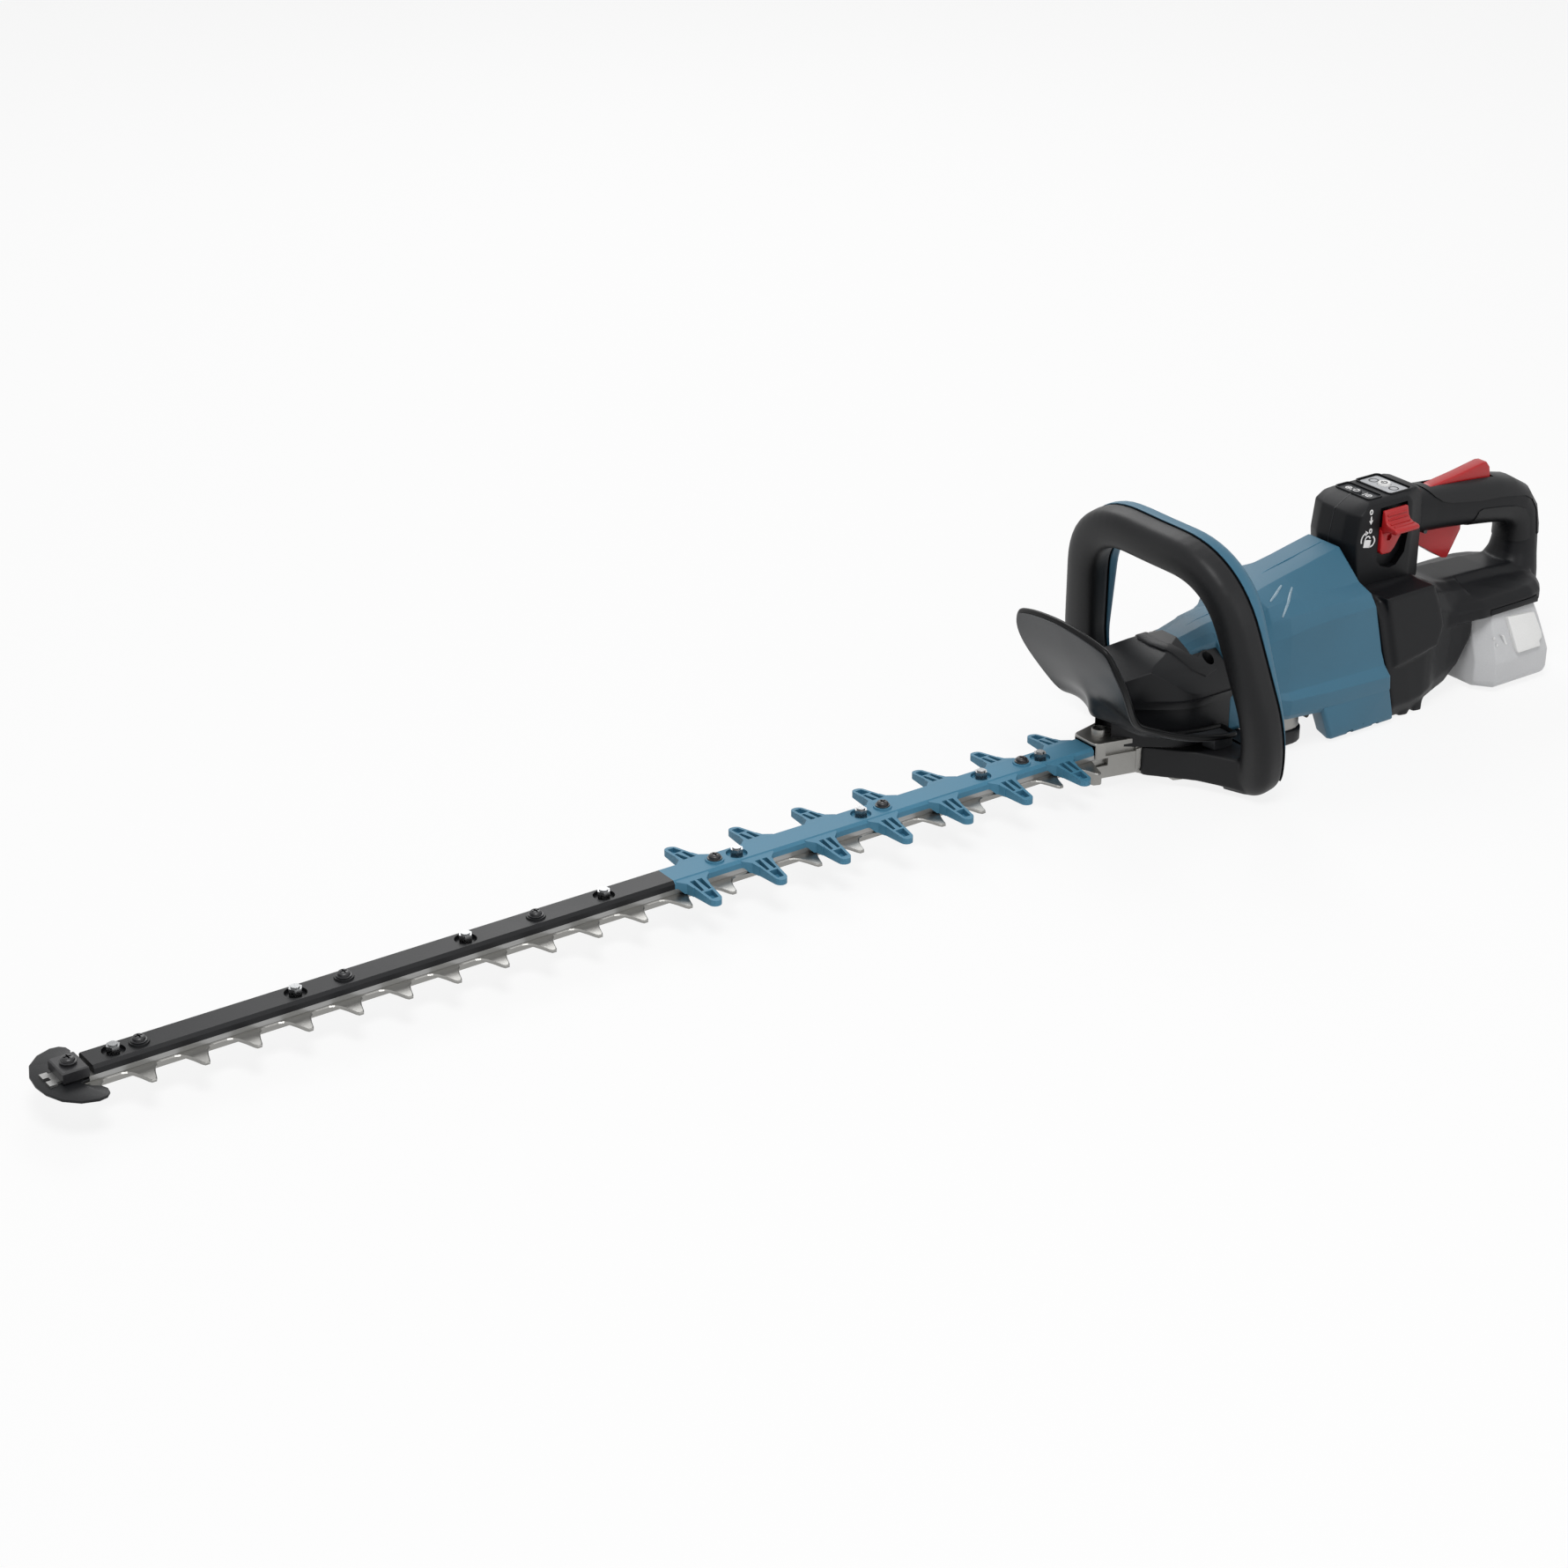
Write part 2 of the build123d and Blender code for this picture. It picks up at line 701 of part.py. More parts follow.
def connecting_rod(z, side, pin_low, pin_high):
    """Flat rod: open eye under or over its eccentric, strap, and the pin into the blade eye."""
    eye = (crank_x, side * eccentric_offset)
    with BuildPart() as rod:
        with BuildSketch(Plane.XY.offset(z)):
            with BuildLine():
                strap = Line((tail_x, 0), eye)
            with Locations(eye):
                Circle(eccentric_r + slip + rod_ring_w)
            with Locations((tail_x, 0)):
                Circle(rod_end_r)
            with Locations(strap @ 0.5):
                Rectangle(strap.length, rod_w, rotation=math.degrees(math.atan2(eye[1], eye[0] - tail_x)))
            with Locations(eye):
                Circle(eccentric_r + slip, mode=Mode.SUBTRACT)
        extrude(amount=rod_t)
        with BuildSketch(Plane.XY.offset(pin_low)):
            with Locations((tail_x, 0)):
                Circle(rod_pin_r)
        extrude(amount=pin_high - pin_low)
    return rod.part


with BuildPart() as upper_rod:
    add(connecting_rod(upper_rod_z, 1, blade_top - blade_t + blade_gap / 2, upper_rod_z))
finish(upper_rod, "upper_rod")

with BuildPart() as lower_rod:
    add(connecting_rod(lower_rod_z, -1, lower_rod_z + rod_t, blade_low + blade_t - blade_gap / 2))
finish(lower_rod, "lower_rod")

idler_turn = 180 / idler_teeth_small
with BuildPart() as idler_gear:
    add(gear_solid(crank_module, idler_teeth_small, idler_x, crank_gear_z, idler_gear_z - crank_gear_z,
                   idler_turn, idler_pin_r + fit, 0.85))
    add(gear_solid(motor_module, idler_teeth_large, idler_x, idler_gear_z, idler_gear_t, 0, idler_pin_r + fit, 0.85))
finish(idler_gear, "idler_gear")

# ---------------------------------------------------------------- motor
pinion_turn = 180 / pinion_teeth
with BuildPart() as motor_pinion:
    add(gear_solid(motor_module, pinion_teeth, motor_x, idler_gear_z, idler_gear_t, pinion_turn, pinion_shaft_r, 0.8))
finish(motor_pinion, "motor_pinion")

shaft_top = top_bearing_z + bearing_w
with BuildPart() as rotor:
    with BuildSketch(Plane.XY.offset(idler_gear_z)):
        with Locations((motor_x, 0)):
            Circle(pinion_shaft_r)
    extrude(amount=shaft_top - idler_gear_z)
    with BuildSketch(Plane.XY.offset(case_ceiling)):
        with Locations((motor_x, 0)):
            Circle(motor_shaft_r)
    extrude(amount=shaft_top - case_ceiling)
    with BuildSketch(Plane.XY.offset(stator_z)):
        with Locations((motor_x, 0)):
            Circle(rotor_r)
    extrude(amount=stator_h)
finish(rotor, "rotor")

with BuildPart() as cooling_fan:
    with BuildSketch(Plane.XY.offset(fan_z)):
        with Locations((motor_x, 0)):
            Circle(fan_r)
            Circle(motor_shaft_r, mode=Mode.SUBTRACT)
    extrude(amount=1.6)
    with BuildSketch(Plane.XY.offset(fan_z)):
        with Locations((motor_x, 0)):
            with PolarLocations(0.68 * fan_r, 9):
                Rectangle(0.5 * fan_r, 1.6, rotation=35)
    extrude(amount=fan_h)
    with BuildSketch(Plane.XY.offset(fan_z)):
        with Locations((motor_x, 0)):
            Circle(motor_shaft_r + 4)
            Circle(motor_shaft_r, mode=Mode.SUBTRACT)
    extrude(amount=fan_h)
finish(cooling_fan, "cooling_fan")

with BuildPart() as stator:
    with BuildSketch(Plane.XY.offset(stator_z)):
        with Locations((motor_x, 0)):
            Circle(stator_r)
            Circle(stator_bore, mode=Mode.SUBTRACT)
            with PolarLocations(stator_bore + 5.0, 6):
                Rectangle(9.0, 3.0, mode=Mode.SUBTRACT)
    extrude(amount=stator_h)
finish(stator, "stator")

with BuildPart() as motor_bearings:
    add(ring_bearing(motor_x, case_ceiling + 0.5, motor_bearing_ro, motor_shaft_r + fit, case_top - case_ceiling - 0.5))
    add(ring_bearing(motor_x, top_bearing_z, motor_bearing_ro, motor_shaft_r + fit, bearing_w))
finish(motor_bearings, "motor_bearings")


# ---------------------------------------------------------------- housing helpers
def side_prism(points, half):
    """Solid from an outline in the X-Z plane, extruded to both sides of the middle plane."""
    with BuildPart() as prism:
        with BuildSketch(Plane.XZ):
            Polygon(*points, align=None)
        extrude(amount=half, both=True)
    return prism.part


def plan_prism(points, low, high):
    """Solid from an outline seen from above; the outline is mirrored across the middle plane."""
    mirrored = [(x, -y) for x, y in reversed(points) if y > 0]
    with BuildPart() as prism:
        with BuildSketch(Plane.XY.offset(low)):
            Polygon(*points, *mirrored, align=None)
        extrude(amount=high - low)
    return prism.part


def front_prism(points, front, rear):
    """Solid from a section seen from the front, mirrored across the middle plane."""
    mirrored = [(-y, z) for y, z in reversed(points) if y > 0]
    with BuildSketch(Plane.YZ.offset(front)) as section:
        Polygon(*points, *mirrored, align=None)
    with BuildPart() as prism:
        extrude(section.sketch, amount=rear - front, dir=(1, 0, 0))
    return prism.part


def post(x, y, low, high, radius):
    """Upright cylinder."""
    with BuildPart() as cylinder:
        with BuildSketch(Plane.XY.offset(low)):
            with Locations((x, y)):
                Circle(radius)
        extrude(amount=high - low)
    return cylinder.part


def cross_pin(x, z, radius, half):
    """Cylinder across the tool."""
    with BuildPart() as cylinder:
        with BuildSketch(Plane.XZ):
            with Locations((x, z)):
                Circle(radius)
        extrude(amount=half, both=True)
    return cylinder.part


def case_envelope(grow):
    """Space taken by the closed gear case, grown by grow."""
    with BuildPart() as envelope:
        extrude(case_outline(grow, case_bottom - grow), amount=case_top - case_bottom + 2 * grow)
        add(nose_box(nose_front - 5, crank_x, nose_half + grow, nose_foot_z - grow, nose_top + grow))
    return envelope.part


# ---------------------------------------------------------------- front handle
lean = math.radians(loop_lean)
loop_plane = Plane(origin=(loop_x, 0, loop_z), x_dir=(0, 1, 0), z_dir=(math.cos(lean), 0, math.sin(lean)))


def loop_middle():
    """Closed outline along the middle of the handle tube, running on below the ground."""
    foot, side = (loop_foot_y, 0), (loop_side_y, loop_side_rise)
    top, crown = (loop_top_y, loop_top_rise), (0, loop_crown_rise)
    points = [(loop_foot_y - 30, -70), foot, side, top]
    mirrored = [(-y, rise) for y, rise in reversed(points)]
    with BuildSketch() as middle:
        Polygon(*points, crown, *mirrored, align=None)
        fillet([v for v in middle.vertices() if abs(abs(v.Y) - loop_top_rise) < 0.1], loop_top_r)
        fillet([v for v in middle.vertices() if abs(v.Y - loop_side_rise) < 0.1], loop_side_r)
    return middle.sketch


def loop_ring(near, far, round_r, round_near):
    """Handle ring between two distances behind the loop plane, rounded on one of its faces."""
    with BuildPart() as ring:
        with BuildSketch(loop_plane.offset(near)):
            offset(loop_middle(), amount=loop_w / 2, kind=Kind.ARC)
            offset(loop_middle(), amount=-loop_w / 2, kind=Kind.ARC, mode=Mode.SUBTRACT)
        extrude(amount=far - near)
        ends = ring.faces().sort_by(Axis((0, 0, 0), tuple(loop_plane.z_dir)))
        rim = ends[0] if round_near else ends[-1]
        fillet(rim.edges(), round_r)
    return ring.part


below_ground = side_prism([(-200, -100), (200, -100), (200, 0), (-200, 0)], 150)
with BuildPart() as handle_base:
    add(plan_prism([(base_front, base_front_half), (base_mid_x, base_mid_half), (base_mid_x + 8, 83), (-19, 93),
                    (-10, base_rear_half), (base_rear, base_rear_half)], 0, base_top))
    # the underside is lifted but for the keel in the middle and the two outer feet
    for side in (1, -1):
        with BuildSketch(Plane.YZ.offset(-80)) as lifted:
            Polygon((side * base_keel_half, -1), (side * (base_keel_half + 3), base_lift),
                    (side * (base_foot_y - 6), base_lift), (side * (base_foot_y + 8), -1), align=None)
        extrude(lifted.sketch, amount=120, dir=(1, 0, 0), mode=Mode.SUBTRACT)
    add(front_prism([(0, base_lift), (60, base_lift), (60, -1), (0, -1)], base_front - 1, base_keel_x),
        mode=Mode.SUBTRACT)
    add(case_envelope(slip), mode=Mode.SUBTRACT)

with BuildPart() as front_handle_front:
    add(loop_ring(-grip_depth / 2, grip_depth / 2, grip_round, True))
    add(below_ground, mode=Mode.SUBTRACT)
    add(handle_base.part)

with BuildPart() as front_handle_rear:
    add(loop_ring(grip_depth / 2, grip_depth / 2 + shell_depth, shell_round, False))
    add(below_ground, mode=Mode.SUBTRACT)
    add(plan_prism([(-100, 150), (100, 150)], -1, base_top), mode=Mode.SUBTRACT)
finish(front_handle_front, "front_handle_front")
finish(front_handle_rear, "front_handle_rear")


# ---------------------------------------------------------------- gear cover
def roof_section(inset):
    """Half section shared by the gear cover and the front of the motor housing."""
    half = cover_half_w - inset
    return [(0, cover_crest - inset), (cover_ridge_y, cover_crest - inset), (20, 94 - inset),
            (cover_roof_y - inset / 2, cover_roof_z - inset), (half, cover_flank_z - inset), (half, 0), (0, 0)]


def cover_form(inset, low):
    """Outer form of the gear cover, pulled in by inset, from low upwards."""
    rear = crank_x + 60
    with BuildPart() as form:
        add(side_prism([(cover_nose_x + inset, low), (cover_nose_x + inset, cover_nose_z - inset / 2),
                        (cover_brow_x + inset, cover_brow_z - inset), (cover_tongue_x, cover_crest - inset),
                        (rear, cover_crest - inset), (rear, low)], 100))
        with BuildSketch(Plane.XY.offset(low)):
            with Locations((cover_nose_x + cover_nose_r, 0)):
                Circle(cover_nose_r - inset)
            with Locations((crank_x, 0)):
                Circle(cover_half_w - inset)
            make_hull()
            with Locations(((crank_x + rear) / 2, 0)):
                Rectangle(rear - crank_x, 2 * (cover_half_w - inset))
        extrude(amount=cover_crest, mode=Mode.INTERSECT)
        add(front_prism(roof_section(inset), cover_nose_x - 1, rear), mode=Mode.INTERSECT)
    return form.part


behind_cover = [(cover_tongue_x, 0), (cover_tongue_x, cover_tongue_half), (cover_back_x, cover_tongue_half),
                (cover_back_x, 60), (cover_back_x + 60, 60), (cover_back_x + 60, 0)]
cover_low = base_top + slip
with BuildPart() as gear_cover:
    add(cover_form(0, cover_low))
    fillet(gear_cover.edges().filter_by(Axis.X).group_by(Axis.Z)[-1], 4.0)
    add(cover_form(cover_wall, cover_low - 1), mode=Mode.SUBTRACT)
    add(plan_prism(behind_cover, 0, 120), mode=Mode.SUBTRACT)
    # screw bosses run down to the gear case
    with Locations([(cover_screw_x, side * cover_screw_y, 0) for side in (1, -1)]):
        add(post(0, 0, case_top, cover_screw_z, 5.0))
    add(case_envelope(slip), mode=Mode.SUBTRACT)
    add(post(nose_bolt_x, 0, nose_top - 5, 58, nose_boss_r + 2), mode=Mode.SUBTRACT)
    with Locations([(cover_screw_x, side * cover_screw_y, 0) for side in (1, -1)]):
        add(post(0, 0, cover_screw_z - 6, cover_crest, 4.0), mode=Mode.SUBTRACT)
        add(post(0, 0, case_top - 1, cover_screw_z, screw_r + fit), mode=Mode.SUBTRACT)
finish(gear_cover, "gear_cover")

with BuildPart() as gear_cover_screws:
    with Locations([(cover_screw_x, side * cover_screw_y, 0) for side in (1, -1)]):
        add(post(0, 0, cover_screw_z - 6, cover_screw_z - 3.2, 3.7))
        add(post(0, 0, case_top, cover_screw_z - 6, screw_r))
finish(gear_cover_screws, "gear_cover_screws")

# ---------------------------------------------------------------- hand guard
with BuildPart() as hand_guard:
    front = [(guard_top_x, guard_top_z), (-114.5, guard_wide_z), (-104, 80), (guard_waist_x, guard_waist_z)]
    back = [(x + guard_t * 0.88, z + guard_t * 0.5) for x, z in front]
    flange = [(-66, 45), (-51, 40), (guard_foot_x, guard_foot_z - guard_t)]
    top = [(x, z + guard_t) for x, z in flange]
    seat = [(guard_foot_x, base_top), (guard_foot_x + 18, base_top), (guard_foot_x + 18, guard_foot_z)]
    add(side_prism([*front, *flange, *seat, *reversed(top), *reversed(back)], 90))
    add(front_prism([(0, guard_top_z + 2), (guard_corner_y - 12, guard_top_z - 4), (guard_corner_y, guard_corner_z),
                     (guard_wide_y, guard_wide_z), (46, 80), (guard_waist_y, guard_waist_z), (45, 49), (50, 44),
                     (guard_foot_y, guard_foot_z + 1), (guard_foot_y, base_top), (0, base_top)],
                    guard_top_x - 5, 10), mode=Mode.INTERSECT)
    add(cover_form(-slip, base_top - 5), mode=Mode.SUBTRACT)
    add(nose_box(nose_front - 5, crank_x, nose_half + slip, nose_foot_z - slip, nose_top + slip), mode=Mode.SUBTRACT)
finish(hand_guard, "hand_guard")


# ---------------------------------------------------------------- motor housing
tilt = math.radians(seam_tilt)
seam_plane = Plane(origin=(seam_x, 0, seam_z), x_dir=(0, 1, 0), z_dir=(math.cos(tilt), 0, math.sin(tilt)))


def seam_at(z, gap):
    """X of the slanted seam at height z, moved back by gap along the swivel axis."""
    return seam_x - (z - seam_z) * math.tan(tilt) + gap / math.cos(tilt)


def seam_disc(start, end, radius):
    """Round disc about the swivel axis, between two distances behind the seam."""
    with BuildPart() as disc:
        with BuildSketch(seam_plane.offset(start)):
            Circle(radius)
        extrude(amount=end - start)
    return disc.part


def cross_screw(x, z, head_y):
    """Housing screw driven in from the +Y side."""
    with BuildPart() as screw:
        add(cross_pin(x, z, house_screw_r, head_y))
        add(side_prism([(x - 9, z - 9), (x + 9, z - 9), (x + 9, z + 9), (x - 9, z + 9)], head_y - 2.6),
            mode=Mode.SUBTRACT)
        split(bisect_by=Plane.XZ, keep=Keep.BOTTOM)
        add(cross_pin(x, z, screw_r, 14.0))
        with BuildSketch(Plane.XZ):
            with Locations((x, z)):
                Circle(screw_r)
        extrude(amount=-(head_y - 1))
    return screw.part


def screw_hole(x, z, head_y):
    """Cutter for a housing screw: shank hole and head recess."""
    with BuildPart() as hole:
        add(cross_pin(x, z, screw_r + fit, 14.5))
        with BuildSketch(Plane.XZ):
            with Locations((x, z)):
                Circle(screw_r + fit)
        extrude(amount=-head_y)
        with BuildSketch(Plane.XZ.offset(-(head_y - 2.6))):
            with Locations((x, z)):
                Circle(house_screw_r + slip)
        extrude(amount=-40)
    return hole.part


def clip_half(solid, keep):
    """Half of a housing, cut on the middle plane."""
    with BuildPart() as half:
        add(solid)
        split(bisect_by=Plane.XZ, keep=keep)
    return half.part


neck_low = base_top + slip
with BuildPart() as motor_neck:
    add(side_prism([(cover_tongue_x + slip, neck_low), (cover_tongue_x + slip, cover_crest - 1), (5, 107.7),
                    (18, 108), (60, 112), (60, neck_low)], 100))
    add(front_prism([(0, 112), (15, 112), (cover_roof_y, 88), (house_neck_half + 2, cover_flank_z),
                     (house_neck_half + 2, 0), (0, 0)], -40, 60), mode=Mode.INTERSECT)
    add(plan_prism([(cover_tongue_x, 0), (cover_tongue_x, cover_tongue_half - slip),
                    (cover_back_x + slip, cover_tongue_half - slip), (cover_back_x + slip, house_neck_half),
                    (60, house_neck_half + 2), (60, 0)], 0, 120), mode=Mode.INTERSECT)

with BuildPart() as motor_body:
    add(side_prism([(52, neck_low), (36, 110), (house_front_x, house_front_z), (68, 129),
                    (seam_at(house_top_z, 0), house_top_z), (seam_at(house_bottom, 0), house_bottom),
                    (house_foot_x + 4, house_bottom), (house_foot_x + 1, house_bottom + 3),
                    (house_foot_x - 9, house_belly_z - 1)], 100))
    add(front_prism([(0, house_top_z), (house_crest_half, house_top_z), (33, 115.6), (house_shoulder_y, house_shoulder_z),
                     (house_half + 0.5, 100), (house_half - 0.5, 60), (house_half + 1, house_step_z + 4),
                     (house_half + house_step, house_step_z - 5), (house_half + 3, 7), (house_half - 1, house_bottom),
                     (0, house_bottom)], 0, 180), mode=Mode.INTERSECT)
    add(plan_prism([(30, 0), (30, 28), (50, 44), (60, house_half + house_step), (180, house_half + house_step),
                    (180, 0)], 0, 150), mode=Mode.INTERSECT)

cavity_rear = -swivel_wall
motor_screws = ((100.0, 112.0, 34.0), (62.0, 117.5, 22.0), (104.0, 6.8, 42.0), (148.0, 7.0, 42.0), (4.5, 80.0, 27.0))
with BuildPart() as motor_housing:
    add(motor_neck.part)
    add(motor_body.part)
    add(case_envelope(slip), mode=Mode.SUBTRACT)
    add(post(motor_x, 0, case_top, stator_z, fan_r + 1.5), mode=Mode.SUBTRACT)
    add(post(motor_x, 0, stator_z - slip, stator_z + stator_h + slip, stator_r + slip), mode=Mode.SUBTRACT)
    add(post(motor_x, 0, stator_z, top_bearing_z, 0.7 * stator_r), mode=Mode.SUBTRACT)
    add(post(motor_x, 0, stator_z, top_bearing_z + bearing_w, motor_bearing_ro + fit), mode=Mode.SUBTRACT)
    add(side_prism([(motor_wall_x, 12), (seam_at(12, cavity_rear), 12), (seam_at(99, cavity_rear), 99),
                    (motor_wall_x, 99)], 38), mode=Mode.SUBTRACT)
    add(seam_disc(-swivel_wall - 1, 1, swivel_r + slip), mode=Mode.SUBTRACT)
    for place in motor_screws:
        add(screw_hole(*place), mode=Mode.SUBTRACT)
motor_housing_left = clip_half(motor_housing.part, Keep.TOP)
motor_housing_right = clip_half(motor_housing.part, Keep.BOTTOM)

with BuildPart() as motor_housing_screws:
    for place in motor_screws:
        add(cross_screw(*place))
finish(motor_housing_screws, "motor_housing_screws")


def finish_solid(solid, name):
    """Write a solid that was cut from a larger one."""
    solid.label = name
    export_step(solid, f"parts/{name}.step")


finish_solid(motor_housing_left, "motor_housing_left")
finish_solid(motor_housing_right, "motor_housing_right")

# ---------------------------------------------------------------- swivel
with BuildPart() as swivel_ring:
    add(seam_disc(-swivel_wall - slip - swivel_flange_t, -swivel_wall - slip, swivel_flange_r))
    add(seam_disc(-swivel_wall - slip - swivel_flange_t, seam_gap + swivel_socket, swivel_r))
    add(seam_disc(-swivel_wall - 10, seam_gap + 10, swivel_bore_r), mode=Mode.SUBTRACT)
finish(swivel_ring, "swivel_ring")

# ---------------------------------------------------------------- rear housing
with BuildPart() as rear_body:
    add(side_prism([(seam_at(waist_z, seam_gap), waist_z), (196, waist_z), (208, 98), (body_rear_x + 3, 66),
                    (battery_front_x - 0.5, battery_top_z + 1),
                    (battery_front_x - 0.5, battery_top_z - 10), (245.5, 32.4), (222, 11.3), (203, 9.4), (174, 0.5),
                    (seam_at(0.5, seam_gap), 0.5)], 100))
    add(plan_prism([(120, 0), (120, rear_half), (body_rear_x, rear_half), (body_rear_x + 8, rear_half - 8),
                    (270, rear_half - 10), (270, 0)], 0, 150), mode=Mode.INTERSECT)
    add(front_prism([(0, waist_z), (block_half, waist_z), (rear_half - 4, 99), (rear_half, 88), (rear_half, 12),
                     (rear_half - 6, 0), (0, 0)], 100, 280), mode=Mode.INTERSECT)

with BuildPart() as rear_arm:
    add(side_prism([(198, battery_top_z), (198, 100), (opening_front_x, arm_top_z), (290, 88),
                    (330, 86), (323, battery_top_z)], 100))
    add(front_prism([(0, 100), (arm_half, 96), (arm_half + 3, 86), (base_half - 4, battery_roof_z - 4),
                     (base_half, battery_roof_z - 10), (base_half, battery_top_z), (0, battery_top_z)], 150, 330),
        mode=Mode.INTERSECT)
    add(plan_prism([(190, 0), (190, 30), (240, base_half), (306, base_half), (330, 24), (330, 0)], 0, 150),
        mode=Mode.INTERSECT)

with BuildPart() as rear_block:
    add(side_prism([(seam_at(waist_z - 9, seam_gap + 2), waist_z - 9), (block_front_x, 141),
                    (block_brow_x, block_top_z), (block_rear_x, block_top_z), (neck_x, 162), (218, grip_top_z),
                    (218, grip_bottom_z - 1), (neck_x, 98)], block_half))
    add(plan_prism([(100, 0), (100, block_half), (block_rear_x - 6, block_half), (neck_x + 2, grip_half + 1),
                    (230, grip_half), (230, 0)], 0, 200), mode=Mode.INTERSECT)
    chamfer(rear_block.edges().filter_by(Axis.X).group_by(Axis.Z)[-1], 3.0)

with BuildPart() as rear_grip:
    add(side_prism([(200, 96), (200, grip_top_z + 2), (290, grip_top_z), (319, 153), (handle_rear_x - 2, 140),
                    (handle_rear_x, 116), (332, 88), (325, battery_roof_z), (250, battery_roof_z)], grip_half))
    chamfer(rear_grip.faces().sort_by(Axis.Y)[0].edges() + rear_grip.faces().sort_by(Axis.Y)[-1].edges(), 5.0)
with BuildPart() as handle_opening:
    add(side_prism([(opening_front_x, grip_bottom_z - 1), (opening_rear_x, grip_bottom_z), (opening_rear_x - 9, 89),
                    (opening_front_x, arm_top_z)], 60))
    fillet(handle_opening.edges().filter_by(Axis.Y), 6.0)

cells_x = battery_front_x + battery_l / 2
neck_slot = rail_w / 2 - rail_lip + slip
inner_rear = 8.0
rear_screws = ((172.0, 9.5, 41.0), (228.0, 38.0, 33.0), (143.0, 150.0, 22.0), (202.5, 128.0, 15.0),
               (318.0, 139.0, 12.0), (312.0, 101.0, 12.0))
trigger_pocket = [(208, grip_bottom_z - 12), (208, 137.5), (263, 137.5), (263, grip_bottom_z - 12)]
lockoff_pocket = [(223, 150.5), (223, 176), (290.5, 176), (290.5, 150.5)]
with BuildPart() as rear_housing:
    add(rear_body.part)
    add(rear_arm.part)
    add(rear_block.part)
    add(rear_grip.part)
    add(handle_opening.part, mode=Mode.SUBTRACT)
    add(side_prism([(100, 0), (seam_at(0, seam_gap), 0), (seam_at(200, seam_gap), 200), (100, 200)], 60),
        mode=Mode.SUBTRACT)
    # swivel socket, wiring space and the spaces in the block and grip
    add(seam_disc(0, seam_gap + swivel_socket, swivel_r + fit), mode=Mode.SUBTRACT)
    add(seam_disc(0, seam_gap + 30, swivel_bore_r), mode=Mode.SUBTRACT)
    add(side_prism([(seam_at(20, inner_rear), 20), (205, 20), (203, 60), (198, 98),
                    (seam_at(98, inner_rear), 98)], rear_half - 6), mode=Mode.SUBTRACT)
    add(side_prism([(150, 112), (196, 112), (196, 158), (150, 158)], 13), mode=Mode.SUBTRACT)
    add(side_prism(trigger_pocket, trigger_half + slip), mode=Mode.SUBTRACT)
    add(side_prism([(226, 138), (262, 138), (262, 149.5), (226, 149.5)], 10), mode=Mode.SUBTRACT)
    add(side_prism(lockoff_pocket, lockoff_half + slip), mode=Mode.SUBTRACT)
    # pockets for the lock lever, the panel and its buttons
    with BuildSketch(Plane.XZ.offset(lock_deep_y + 0.7)):
        with Locations((lock_x, (lock_low_z - lock_travel - 0.5 + lock_high_z + slip) / 2)):
            Rectangle(2 * (lock_half + slip), lock_high_z + slip - (lock_low_z - lock_travel - 0.5))
    extrude(amount=30, mode=Mode.SUBTRACT)
    add(plan_prism([(panel_front_x, 0), (panel_front_x, panel_half), (panel_rear_x, panel_half), (panel_rear_x, 0)],
                   block_top_z - panel_t, block_top_z + 10), mode=Mode.SUBTRACT)
    for x in button_xs:
        add(post(x, 0, 163, block_top_z, button_r + slip), mode=Mode.SUBTRACT)
    # battery slide, open towards -Y
    with BuildSketch(Plane.XZ.offset(-battery_half + 12)):
        with Locations((cells_x, battery_top_z)):
            Rectangle(2 * neck_slot, 2 * (rail_h - 3.3))
        with Locations((cells_x, battery_top_z + rail_h - 1.8)):
            Rectangle(rail_w + 2 * slip, 4.2)
    extrude(amount=120, mode=Mode.SUBTRACT)
    add(plan_prism([(cells_x - 18, 0), (cells_x - 18, 14), (cells_x + 18, 14), (cells_x + 18, 0)],
                   battery_top_z + rail_h, battery_top_z + rail_h + 8), mode=Mode.SUBTRACT)
    for x, z in ((trigger_pivot_x, trigger_pivot_z), (lockoff_pivot_x, lockoff_pivot_z)):
        add(cross_pin(x, z, pin_r + fit, 12.05), mode=Mode.SUBTRACT)
    for place in rear_screws:
        add(screw_hole(*place), mode=Mode.SUBTRACT)
finish_solid(clip_half(rear_housing.part, Keep.TOP), "rear_housing_left")
finish_solid(clip_half(rear_housing.part, Keep.BOTTOM), "rear_housing_right")

with BuildPart() as rear_housing_screws:
    for place in rear_screws:
        add(cross_screw(*place))
finish(rear_housing_screws, "rear_housing_screws")

# ---------------------------------------------------------------- handle pins, trigger, levers
with BuildPart() as trigger_pin:
    add(cross_pin(trigger_pivot_x, trigger_pivot_z, pin_r, 12))
finish(trigger_pin, "trigger_pin")

with BuildPart() as lockoff_pin:
    add(cross_pin(lockoff_pivot_x, lockoff_pivot_z, pin_r, 12))
finish(lockoff_pin, "lockoff_pin")

with BuildPart() as trigger:
    add(side_prism([(211, 133), (209, 120.5), (243, 99.5), (248, 98.5), (260, 119), (260, 126), (256, 128.5),
                    (219, 134)], trigger_half))
    fillet(trigger.edges().filter_by(Axis.Y).group_by(Axis.Z)[0], 2.0)
    add(cross_pin(trigger_pivot_x, trigger_pivot_z, pin_r + fit, 20), mode=Mode.SUBTRACT)
finish(trigger, "trigger")

